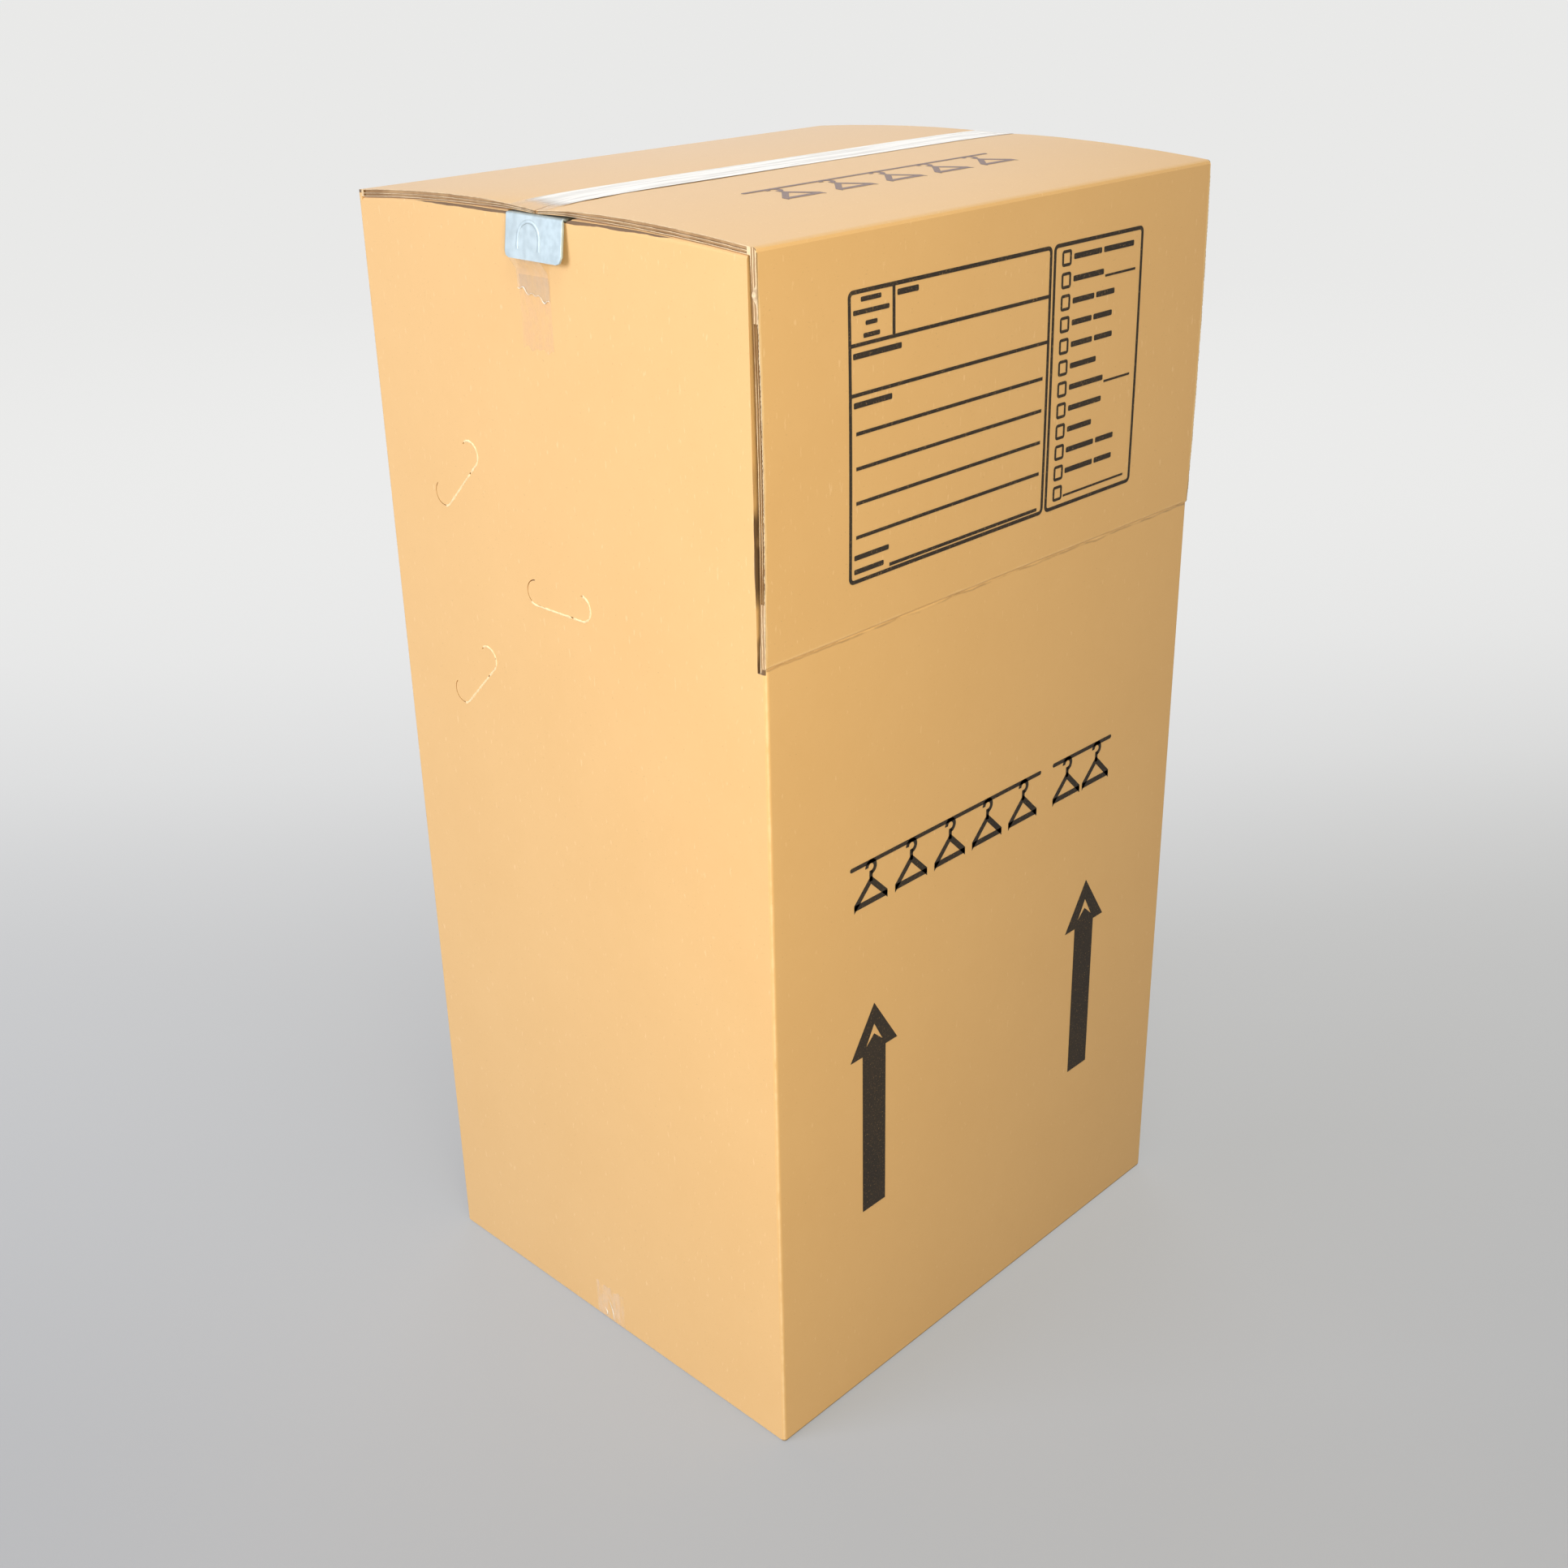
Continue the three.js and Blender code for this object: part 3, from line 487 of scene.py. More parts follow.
KRAFT = (0.72, 0.44, 0.172, 1)
KRAFT_PALE = (0.77, 0.49, 0.21, 1)
KRAFT_WORN = (0.90, 0.66, 0.36, 1)
KRAFT_SPECK = (0.42, 0.24, 0.10, 1)
LINER_EDGE = (0.80, 0.62, 0.38, 1)
LINER_STREAK = (0.62, 0.43, 0.24, 1)
# Flute paper darkened with painted shade for the grooves and open flutes; also the colour of the raw
# edges' dark specks
FLUTE_SHADE_AND_SPECKS = (0.34, 0.20, 0.09, 1)
FLUTE_SHADE_STREAK = (0.50, 0.33, 0.17, 1)
LIP_COLOUR = (0.95, 0.72, 0.42, 1)
LIP_STREAK = (0.84, 0.58, 0.30, 1)
TORN_COLOUR = (0.80, 0.66, 0.46, 1)
TORN_STREAK = (0.46, 0.33, 0.20, 1)
# Painted shade: the dark colour of the gaps and of the contact shadow at the front's foot
GAP_SHADE_COLOUR = (0.06, 0.025, 0.012, 1)
INK = (0.009, 0.010, 0.013, 1)
FADED_INK = (0.26, 0.20, 0.20, 1)
# Galvanised steel's grey, tinted blue by a painted reflection of the sky
STEEL_DARK_WITH_SKY = (0.41, 0.49, 0.51, 1)
STEEL_PALE_WITH_SKY = (0.50, 0.59, 0.61, 1)
# Top film: the tape's milky haze, whitened by a painted reflection of the bright surroundings; the
# walls' film stays clear
TOP_FILM_REFLECTION_COLOUR = (0.66, 0.64, 0.60, 1)
WALL_FILM_COLOUR = (0.84, 0.70, 0.56, 1)
OLD_FILM_COLOUR = (0.86, 0.64, 0.46, 1)
LOW_FILM_COLOUR = (0.98, 0.88, 0.76, 1)
FILM_EDGE_COLOUR = (1.0, 0.92, 0.82, 1)

# How strongly the wear, the crease lines and the painted gap shade colour the board
WORN_STRENGTH = 0.6
PALE_CREASE_STRENGTH = 0.3
DARK_CREASE_STRENGTH = 0.8
GAP_SHADE_STRENGTH = 0.85

# Two rows of open flutes along the door's raw edge, painted dark as shade, in shares of the board
FLUTE_MIDDLE = 0.5
FLUTE_FROM_MIDDLE = 0.2
FLUTE_EDGE = (0.09, 0.15)

# Clear tape: the share of film left where it clings to the flap's end and to the tab
CLEAR_END_SHARE = 0.12
CLEAR_END_RUN = (-HALF_WIDTH + 10 * MM, -HALF_WIDTH + 34 * MM)
CLEAR_TAB_SHARE = 0.1
FILM_PALER = 1.08


def kraft_material():
    material, tree, shader = new_material("kraft_board")
    fibres = place_group(tree, PAPER_FIBRES, Speck_Amount=0.35)
    worn = place_group(tree, WORN_EDGES, Band=2.2 * MM)
    crease = place_group(tree, CREASE_LINES, Level=CREASE_LEVEL)
    gap = place_group(tree, GAP_SHADE, Depth=3.4 * MM)
    base = mix_colours(tree, fibres["Mottle"], KRAFT, KRAFT_PALE)
    base = mix_colours(tree, fibres["Dark Specks"], base, KRAFT_SPECK)
    base = mix_colours(tree, fibres["Pale Specks"], base, KRAFT_WORN)
    base = tinted(tree, base, KRAFT_WORN, worn["Mask"], WORN_STRENGTH)
    base = tinted(tree, base, KRAFT_WORN, crease["Pale"], PALE_CREASE_STRENGTH)
    base = tinted(tree, base, KRAFT_SPECK, crease["Dark"], DARK_CREASE_STRENGTH)
    # painted shade in the gaps and painted contact shadow at the front's foot
    base = tinted(tree, base, GAP_SHADE_COLOUR, gap["Mask"], GAP_SHADE_STRENGTH)
    roughness = plus(tree, 0.58, times(tree, fibres["Mottle"], 0.12))
    feed(tree, shader, Base_Color=base, Roughness=roughness, Sheen_Weight=0.2, Sheen_Roughness=0.45)
    add_bump(tree, shader, fibres["Height"], 0.12 * MM, 0.7)
    return material


def open_flute_shade(tree):
    """A mask of painted shade: two wavering dark rows along the door's raw edge, where its flutes are
    open.
    """
    _, y, _ = object_axes(tree)
    share = math_node(tree, "DIVIDE", plus(tree, y, HALF_DEPTH), BOARD)
    waver = minus(tree, noise_node(tree, object_place(tree), 70, 3), 0.5)
    share = plus(tree, share, times(tree, waver, 0.3))
    from_middle = absolute(tree, minus(tree, share, FLUTE_MIDDLE))
    from_row = absolute(tree, minus(tree, from_middle, FLUTE_FROM_MIDDLE))
    return fade_out(tree, from_row, *FLUTE_EDGE)


def raw_edge_material(name, colour, streak, stretch, on_door=False):
    """The torn or cut edge of paper: streaks, dark specks and, on the door, rows of painted shade in
    the open flutes.
    """
    material, tree, shader = new_material(name)
    fibres = place_group(tree, PAPER_FIBRES, Speck_Amount=0.8)
    streaks = noise_node(tree, object_place(tree), 260, 4, 0.7, stretch)
    base = mix_colours(tree, ramp(tree, streaks, 0.35, 0.7), colour, streak)
    base = mix_colours(tree, fibres["Dark Specks"], base, FLUTE_SHADE_AND_SPECKS)
    if on_door:
        base = mix_colours(tree, open_flute_shade(tree), base, FLUTE_SHADE_AND_SPECKS)
    feed(tree, shader, Base_Color=base, Roughness=0.85)
    add_bump(tree, shader, streaks, 0.4 * MM, 0.8)
    return material


def ink_material(name, colour, wear):
    material, tree, shader = new_material(name)
    fibres = place_group(tree, PAPER_FIBRES, Speck_Amount=0.9)
    rubbed = noise_node(tree, object_place(tree), 520, 5, 0.75)
    base = tinted(tree, colour, KRAFT, ramp(tree, rubbed, 0.56, 0.72), wear)
    base = tinted(tree, base, KRAFT_PALE, fibres["Mottle"], 0.06)
    feed(tree, shader, Base_Color=base, Roughness=0.7, Specular_IOR_Level=0.35)
    add_bump(tree, shader, fibres["Height"], 0.08 * MM, 0.6)
    return material


def steel_material():
    material, tree, shader = new_material("galvanised_steel")
    place = object_place(tree)
    streaks = noise_node(tree, place, 90, 5, 0.6, (1, 1, 0.12))
    spangle = noise_node(tree, place, 160, 2, 0.4)
    share = times(tree, plus(tree, streaks, spangle), 0.5)
    # steel colour with a painted blue sky reflection
    base = mix_colours(tree, ramp(tree, share, 0.35, 0.65), STEEL_DARK_WITH_SKY, STEEL_PALE_WITH_SKY)
    roughness = plus(tree, 0.42, times(tree, streaks, 0.2))
    feed(tree, shader, Base_Color=base, Metallic=0.55, Roughness=roughness)
    add_bump(tree, shader, streaks, 0.2 * MM, 0.5)
    return material


def film_material(name, colour, alphas, roughness=0.35, run=(1, 1, 0.12), clear_at=""):
    """Clear tape: the share of milky film to bare paper varies along its pulled streaks."""
    material, tree, shader = new_material(name)
    place = object_place(tree)
    x, _, z = object_axes(tree)
    streaks = noise_node(tree, place, 150, 4, 0.6, run)
    wrinkles = noise_node(tree, place, 420, 3, 0.6, run)
    low, high = alphas
    alpha = plus(tree, low, times(tree, ramp(tree, streaks, 0.35, 0.6), high - low))
    if clear_at == "end":
        from_end = ramp(tree, x, *CLEAR_END_RUN)
        alpha = times(tree, alpha, at_least(tree, CLEAR_END_SHARE, from_end))
    if clear_at == "tab":
        off_tab = is_under(tree, z, WEB_TOP - TAB_HEIGHT)
        alpha = times(tree, alpha, at_least(tree, CLEAR_TAB_SHARE, off_tab))
    paler = tuple(min(1, channel * FILM_PALER) for channel in colour)
    tint = mix_colours(tree, streaks, colour, paler)
    feed(tree, shader, Base_Color=tint, Alpha=alpha, Roughness=roughness, Specular_IOR_Level=0.6)
    add_bump(tree, shader, wrinkles, 0.3 * MM, 0.8)
    return material


KRAFT_BOARD = kraft_material()
RAW_EDGE = raw_edge_material("liner_edge", LINER_EDGE, LINER_STREAK, (1, 0.15, 0.15), on_door=True)
# faces in the flap ends' grooves: the flute paper's colour darkened with painted shade
FLUTE_EDGES_SHADED = raw_edge_material("flute_edge_shaded", FLUTE_SHADE_AND_SPECKS, FLUTE_SHADE_STREAK, (1, 0.12, 0.12))
PRINT_INK = ink_material("print_ink", INK, 0.5)
TOP_INK = ink_material("faded_ink", FADED_INK, 0.9)
STEEL = steel_material()
LIP_PAPER = raw_edge_material("lip_paper", LIP_COLOUR, LIP_STREAK, (1, 1, 1))
TORN_PAPER = raw_edge_material("torn_paper", TORN_COLOUR, TORN_STREAK, (1, 0.4, 0.4))
# painted reflection: the tape on the top is near-opaque and whiter than the same tape on the walls
TOP_FILM_PAINTED_REFLECTION = film_material("top_film_painted_reflection", TOP_FILM_REFLECTION_COLOUR, (0.74, 0.96), 0.34, (0.05, 1, 1), clear_at="end")
WALL_FILM = film_material("wall_film", WALL_FILM_COLOUR, (0.08, 0.13), clear_at="tab")
OLD_FILM = film_material("old_film", OLD_FILM_COLOUR, (0.04, 0.10), run=(1, 1, 0.5))
LOW_FILM = film_material("low_film", LOW_FILM_COLOUR, (0.02, 0.14), run=(1, 1, 0.3))
FILM_EDGE = film_material("film_edge", FILM_EDGE_COLOUR, (0.45, 0.85), 0.3)


# Carton: the paper that a face shows is the outside, a liner's raw edge or open flutes, which are
# coloured dark with painted shade
OUTSIDE, RAW_LINER, FLUTES = range(3)
FACE_SLACK = 0.1 * MM
SHARE_LIMIT = 1.02


def face_kind(centre, normal):
    from_side = HALF_WIDTH - abs(centre.x)
    if from_side > FLUTE_DEPTH + FACE_SLACK or centre.z < HEIGHT - DOOR_SLOT_HEIGHT:
        return OUTSIDE
    under_flap_top = flap_surface(centre.x, centre.y) - centre.z
    flap_share = under_flap_top / flap_thickness(centre.x, centre.y)
    on_flap = 0 <= flap_share <= SHARE_LIMIT and HALF_DEPTH - abs(centre.y) > BOARD
    door_share = (centre.y + HALF_DEPTH + door_out(centre.x, centre.z)) / BOARD
    on_door = 0 <= door_share <= SHARE_LIMIT and not on_flap
    if not (on_flap or on_door):
        return OUTSIDE
    if from_side > FACE_SLACK:
        return FLUTES
    return RAW_LINER if abs(normal.x) > 0.7 else OUTSIDE


def make_carton():
    carton = copy_node("carton", "carton_board")
    smooth(carton, 32)
    apply_modifier(carton, "WEIGHTED_NORMAL", keep_sharp=True, weight=80)
    carton.data.materials.clear()
    for material in (KRAFT_BOARD, RAW_EDGE, FLUTE_EDGES_SHADED):
        carton.data.materials.append(material)
    for face in carton.data.polygons:
        face.material_index = face_kind(face.center, face.normal)
    return finish_piece(carton, None, "kraft_board", "carton")


HAND_HOLE_LENGTH = 89 * MM
HAND_HOLE_HEIGHT = 25 * MM

# Hand holes: distance from the rear, distance from the top, and turn
HAND_HOLES = (
    ("low", 251.3 * MM, 340 * MM, 0.0),
    ("high_rear", 113 * MM, 247.5 * MM, -math.pi / 4),
    ("low_rear", 114.4 * MM, 449.4 * MM, -math.pi / 4),
)

# Lips of the cuts, in two parts that leave an uncut bridge between them
LIP_PARTS = (("a", 0.02, 0.36), ("b", 0.38, 0.78))
LIP_WIDTH = 2.4 * MM
LIP_HEIGHT = 0.6 * MM
LIP_PAPER_THICKNESS = 0.1 * MM
LIP_FINISH = (LIP_PAPER, "kraft_board")
LIP_CELLS = 4
LIP_STEPS = 70

# Frayed rims of the liners
RIM_FINISH = (TORN_PAPER, "kraft_board")
RIM_CELLS = 2
RIM_THICKNESS = 0.3 * MM
RIM_DEGREES = 40
DOOR_RIM_THICKNESS = 0.35 * MM
DOOR_RIM_SET_IN = 0.6 * MM
DOOR_RIM_BACK = 0.3 * MM
DOOR_RIM_ROWS = 240
DOOR_RIM_TAPER_ROWS = 8
DOOR_RIM_ENDS = (3 * MM, 5 * MM)
FLUTE_PITCH = 3.9 * MM
FLAP_RIM_OUT = 0.5 * MM
FLAP_RIM_SET_IN = 0.5 * MM
FLAP_RIM_ROWS = 150
FLAP_RIM_SHARES = (0.05, 0.54, 0.95)
FLAP_RIM_RUNS = (
    ("front", -HALF_DEPTH + 12 * MM, -3 * MM),
    ("rear", 3 * MM, HALF_DEPTH - 12 * MM),
)
TORN_ROWS = 14
TORN_CELLS = 4
TORN_TRIANGLE_TOP = HEIGHT - 25 * MM
TORN_TRIANGLE_BOTTOM = HEIGHT - 43 * MM
TORN_TRIANGLE_WIDTH = 4.6 * MM
TORN_TRIANGLE_LIFT = 1.1 * MM


def cut_path(share):
    """A point of a hand hole's cut, from the front arc along the lower side to the rear arc."""
    radius = HAND_HOLE_HEIGHT / 2
    straight = HAND_HOLE_LENGTH - HAND_HOLE_HEIGHT
    arc = math.pi * radius
    run = share * (2 * arc + straight)
    if run < arc:
        angle = math.pi / 2 - run / radius
        return -straight / 2 - radius * math.cos(angle), radius * math.sin(angle), angle, -1
    if run > arc + straight:
        angle = (run - arc - straight) / radius - math.pi / 2
        return straight / 2 + radius * math.cos(angle), radius * math.sin(angle), angle, 1
    return run - arc - straight / 2, -radius, -math.pi / 2, 1


def make_hand_hole_lip(side, name, hole, start, end):
    """The pale paper edge that stands up along a hand hole's cut, open for a stretch at one end."""
    from_rear, from_top, turn = hole

    def place(i, j):
        share = start + (end - start) * i / LIP_STEPS
        y, z, angle, way = cut_path(share)
        from_middle = j / LIP_CELLS - 0.5
        across = from_middle * LIP_WIDTH
        rough = wander(share * 60, from_rear * 90, side) * 0.5 + 0.85
        y += across * way * math.cos(angle) * rough
        z += across * math.sin(angle) * rough
        lift = LIP_HEIGHT * math.cos(from_middle * math.pi) * rough
        lift *= taper(i, LIP_STEPS, least=0.05)
        turned_y = y * math.cos(turn) - z * math.sin(turn)
        turned_z = y * math.sin(turn) + z * math.cos(turn)
        out = side * (HALF_WIDTH + 0.02 * MM + lift)
        return (out, HALF_DEPTH - from_rear + turned_y, HEIGHT - from_top + turned_z)

    return make_sheet(name, (LIP_STEPS, LIP_CELLS), place, LIP_PAPER_THICKNESS, LIP_FINISH)


def make_rim(name, cells, place, thickness=RIM_THICKNESS):
    return make_sheet(name, cells, place, thickness, RIM_FINISH, degrees=RIM_DEGREES)


def make_door_rim(side, name):
    """The outer liner's torn rim along the door's raw edge, toothed where the flutes held it."""
    from_crease, from_top = DOOR_RIM_ENDS
    bottom = CREASE_LEVEL + from_crease
    top = HEIGHT - from_top

    def place(i, j):
        z = bottom + (top - bottom) * i / DOOR_RIM_ROWS
        outward = j / RIM_CELLS
        tooth = abs(math.sin(z / FLUTE_PITCH * math.pi)) * 0.7
        ragged = wander(z * 160, side * 7, 0) * 0.6 + wander(z * 25, side * 3, 2) * 0.7
        torn_out = (0.5 + tooth + ragged) * MM * taper(i, DOOR_RIM_ROWS, DOOR_RIM_TAPER_ROWS)
        reach = max(torn_out, 0.05 * MM) * outward
        front = -HALF_DEPTH - door_out(side * HALF_WIDTH, z)
        curl = wander(z * 60, 5, side) * 0.5 * MM * outward
        x = HALF_WIDTH - DOOR_RIM_SET_IN + reach + DOOR_RIM_SET_IN * outward
        return (side * x, front + DOOR_RIM_BACK + abs(curl), z)

    return make_rim(name, (DOOR_RIM_ROWS, RIM_CELLS), place, DOOR_RIM_THICKNESS)


def make_torn_triangle():
    """The torn triangle of liner near the top of the door's left edge."""

    def place(i, j):
        share = i / TORN_ROWS
        inward = j / TORN_CELLS
        z = TORN_TRIANGLE_BOTTOM + (TORN_TRIANGLE_TOP - TORN_TRIANGLE_BOTTOM) * share
        width = (1 - abs(2 * share - 0.9)) * TORN_TRIANGLE_WIDTH + 0.3 * MM
        lift = math.sin(share * math.pi) * TORN_TRIANGLE_LIFT * inward
        front = -HALF_DEPTH - door_out(-HALF_WIDTH, z)
        ragged = wander(z * 300, j, 1) * 0.4 * MM
        return (-HALF_WIDTH - lift - 0.15 * MM, front + 0.4 * MM + width * inward + ragged, z)

    return make_rim("torn_liner_triangle", (TORN_ROWS, TORN_CELLS), place)


def make_flap_rim(side, name, share, near_y, far_y):
    """A liner's frayed rim along the raw end of a top flap."""

    def place(i, j):
        outward = j / RIM_CELLS
        y = near_y + (far_y - near_y) * i / FLAP_RIM_ROWS
        x = side * HALF_WIDTH
        z = flap_surface(x, y) - share * flap_thickness(x, y)
        ragged = wander(y * 140, share * 9, side) * 0.5 + 0.6
        bend = wander(y * 35, share * 5, side) * 0.35 * MM
        reach = FLAP_RIM_OUT * ragged * taper(i, FLAP_RIM_ROWS)
        out = reach * outward - FLAP_RIM_SET_IN * (1 - outward)
        return (x + side * out, y, z + bend * outward)

    return make_rim(name, (FLAP_RIM_ROWS, RIM_CELLS), place)


def make_carton_details():
    for side, side_name in SIDES:
        for hole_name, *hole in HAND_HOLES:
            for part, start, end in LIP_PARTS:
                make_hand_hole_lip(side, f"{side_name}_{hole_name}_lip_{part}", hole, start, end)
        make_door_rim(side, f"{side_name}_door_rim")
        for flap_name, near_y, far_y in FLAP_RIM_RUNS:
            for k, share in enumerate(FLAP_RIM_SHARES):
                make_flap_rim(side, f"{side_name}_{flap_name}_flap_rim_{k}", share, near_y, far_y)
    make_torn_triangle()


# Print on the front: fields are measured in millimetres from the front's left edge and top
INK_LIFT = 0.15 * MM
INK_THICKNESS = 0.1 * MM
INK_STEP = 12 * MM


def front_place(x, z):
    return Vector((x, -HALF_DEPTH - door_out(x, z) - INK_LIFT, z))


def field(left, right, top, bottom, corner=0.0, line=0.0):
    """A printed field: a filled rectangle, or its outline where line is given."""
    deselect_all()
    centre = ((left + right) / 2 * MM - HALF_WIDTH, 0, HEIGHT - (top + bottom) / 2 * MM)
    bpy.ops.mesh.primitive_plane_add(size=1, location=centre, rotation=(math.pi / 2, 0, 0))
    bpy.ops.transform.resize(value=((right - left) * MM, 1, (bottom - top) * MM))
    piece = bpy.context.object
    settle(piece)
    edit_all(piece)
    if corner:
        bpy.ops.mesh.bevel(offset=corner * MM, segments=5, affect="VERTICES")
        bpy.ops.mesh.select_all(action="SELECT")
    if line:
        bpy.ops.mesh.inset(thickness=line * MM)
        bpy.ops.mesh.delete(type="FACE")
    leave_edit_mode()
    return piece


def cut_at_stations(piece, step):
    """Bisects a flat shape along X and Z, so that it can follow the front's bow."""
    corners = [vertex.co for vertex in piece.data.vertices]
    pick(piece)
    bpy.ops.object.mode_set(mode="EDIT")
    for axis, direction in ((0, (1, 0, 0)), (2, (0, 0, 1))):
        start = min(corner[axis] for corner in corners)
        end = max(corner[axis] for corner in corners)
        count = int((end - start) / step)
        for k in range(1, count + 1):
            place = [0.0, 0.0, 0.0]
            place[axis] = start + (end - start) * k / (count + 1)
            bpy.ops.mesh.select_all(action="SELECT")
            bpy.ops.mesh.bisect(plane_co=place, plane_no=direction)
    leave_edit_mode()


def lay_on(piece, surface, thickness):
    """Moves a flat shape's points onto a surface and gives the ink its thickness."""
    for vertex in piece.data.vertices:
        vertex.co = surface(vertex.co)
    apply_modifier(piece, "SOLIDIFY", thickness=thickness, offset=0)


def print_on_front(pieces, name, *replaced):
    piece = join(pieces, name)
    above_crease = max(vertex.co.z for vertex in piece.data.vertices) > CREASE_LEVEL
    if above_crease:
        cut_at_stations(piece, INK_STEP)
    lay_on(piece, lambda place: front_place(place.x, place.z), INK_THICKNESS)
    return finish_piece(piece, PRINT_INK, "print_ink", *replaced)


# Label panel: left, right, top and bottom of each field, and left, right and top of each rule
RULE = 3.2
FRAME_LINE = 3.6
BOX_LINE = 2.8
FRAME_CORNER = 6
WORD_CORNER = 1.2
LABEL_PANEL = (100.2, 368.7, 46.6, 292.0)
TAG_LINE = (154.1, 157.7, 47.6, 90.0)
LABEL_RULES = (
    (101.2, 367.7, 89.0),
    (101.2, 367.7, 129.4),
    (108.9, 360.3, 161.5),
    (108.9, 360.3, 190.9),
    (108.9, 360.3, 220.4),
    (108.9, 360.3, 249.9),
    (151.7, 359.2, 284.0),
)
LABEL_WORDS = (
    (160.2, 187.0, 53.4, 58.4),
    (105.7, 165.6, 97.0, 102.0),
    (106.1, 153.7, 137.0, 142.0),
    (106.7, 150.8, 266.9, 271.5),
    (106.7, 144.3, 279.3, 283.9),
    (115.6, 140.5, 53.0, 57.0),
    (106.3, 150.4, 62.9, 66.9),
    (121.1, 135.6, 72.6, 76.3),
    (118.4, 138.7, 82.3, 86.2),
)


def make_label_panel():
    pieces = [field(*LABEL_PANEL, FRAME_CORNER, FRAME_LINE), field(*TAG_LINE)]
    pieces += [field(left, right, top, top + RULE) for left, right, top in LABEL_RULES]
    pieces += [field(*word, WORD_CORNER) for word in LABEL_WORDS]
    rule_nodes = [f"label_rule_{k}" for k in range(1, 6)]
    return print_on_front(pieces, "print_label_frame", "label_frame", *rule_nodes)


# Check list: each row has a box, bars for its words and, in some rows, a line to write on
CHECK_PANEL = (371.1, 509.0, 46.4, 292.1)
BOX_PITCH = 19.7
FIRST_BOX = 60.5
BOX_LEFT = 383.4
BOX_RIGHT = 397.7
BOX_HALF = 7.3
BOX_CORNER = 3
ROW_WORD_HALF = 2.6
ROW_WORD_CORNER = 1.4
WRITING_TOP = 3.2
WRITING_BOTTOM = 5.4
WORD_ROWS = (
    ((401.3, 443.8), (447.0, 494.3)),
    ((401.3, 448.2),),
    ((401.3, 434.6), (437.5, 466.3)),
    ((401.3, 431.8), (434.6, 463.6)),
    ((401.3, 433.9), (437.1, 465.2)),
    ((401.3, 441.4),),
    ((401.3, 453.9),),
    ((401.3, 452.7),),
    ((401.3, 438.9),),
    ((400.9, 443.9), (447.1, 475.7)),
    ((400.5, 443.8), (446.6, 474.6)),
    (),
)
WRITING_LINES = {1: (450.5, 498.2), 6: (455.7, 497.5), 11: (399.5, 496.4)}


def make_check_list():
    pieces = [field(*CHECK_PANEL, FRAME_CORNER, FRAME_LINE)]
    for row, words in enumerate(WORD_ROWS):
        middle = FIRST_BOX + row * BOX_PITCH
        top = middle - BOX_HALF
        pieces.append(field(BOX_LEFT, BOX_RIGHT, top, middle + BOX_HALF, BOX_CORNER, BOX_LINE))
        for start, end in words:
            word_top = middle - ROW_WORD_HALF
            pieces.append(field(start, end, word_top, middle + ROW_WORD_HALF, ROW_WORD_CORNER))
        if row in WRITING_LINES:
            pieces.append(field(*WRITING_LINES[row], middle + WRITING_TOP, middle + WRITING_BOTTOM))
    box_nodes = [f"check_box_{k}" for k in range(1, len(WORD_ROWS) + 1)]
    return print_on_front(pieces, "print_check_list", "check_list_frame", *box_nodes)


ARROW_SHIFT = (0, 0.2 * MM, 0)


def press_down(node_name, piece_name):
    """A copy of a printed node's mesh, moved down onto the board as thin ink."""
    piece = copy_node(node_name, piece_name, ARROW_SHIFT)
    return finish_piece(piece, PRINT_INK, "print_ink", node_name)


# Rows of coat hangers on a rail
HANGER_WIDTH = 46
HANGER_HEIGHT = 46
HANGER_LINE = 6
HANGER_HOOK = 8
HANGER_SHOULDER = 17
HANGER_CORNER = 2.4
RAIL_LINE = 4.4
RAIL_CORNER = 2.1
HOOK_SIDES = 28


def make_hook(centre, top):
    """The hanger's hook: a ring over the rail, open at its lower left."""
    deselect_all()
    radius = HANGER_HOOK * MM
    place = (centre * MM - HALF_WIDTH, 0, HEIGHT - top * MM - radius)
    upright = (math.pi / 2, 0, 0)
    bpy.ops.mesh.primitive_circle_add(
        vertices=HOOK_SIDES, radius=radius, fill_type="NGON", location=place, rotation=upright
    )
    hook = bpy.context.object
    settle(hook)
    edit_all(hook)
    bpy.ops.mesh.inset(thickness=RAIL_LINE * MM)
    bpy.ops.mesh.delete(type="FACE")
    leave_edit_mode()
    for face in hook.data.polygons:
        face.select = face.center.x < place[0] and face.center.z < place[2]
    bpy.ops.object.mode_set(mode="EDIT")
    bpy.ops.mesh.delete(type="FACE")
    leave_edit_mode()
    return hook


def make_hanger_sign(centre, top):
    """A coat hanger: hook, neck, two sloping shoulders and a bar."""
    half = HANGER_WIDTH / 2
    bottom = top + HANGER_HEIGHT
    peak = top + HANGER_SHOULDER
    slope = (HANGER_HEIGHT - HANGER_SHOULDER - HANGER_LINE) / half
    pieces = [field(centre - half, centre + half, bottom - HANGER_LINE, bottom, HANGER_CORNER)]
    for side in (-1, 1):
        arm = field(centre, centre + half, peak, peak + HANGER_LINE * math.sqrt(2))
        for vertex in arm.data.vertices:
            run = (vertex.co.x + HALF_WIDTH) / MM - centre
            vertex.co.z -= run * slope * MM
            vertex.co.x = (centre + side * run) * MM - HALF_WIDTH
        pieces.append(arm)
    neck_top = top + 2 * HANGER_HOOK - RAIL_LINE
    neck = RAIL_LINE / 2
    pieces.append(field(centre - neck, centre + neck, neck_top, peak + HANGER_LINE))
    return pieces + [make_hook(centre, top)]


def hanger_row(left, right, top, count):
    pitch = (right - left) / count
    pieces = [field(left, right, top, top + RAIL_LINE, RAIL_CORNER)]
    for k in range(count):
        pieces += make_hanger_sign(left + pitch * (k + 0.5), top)
    return pieces


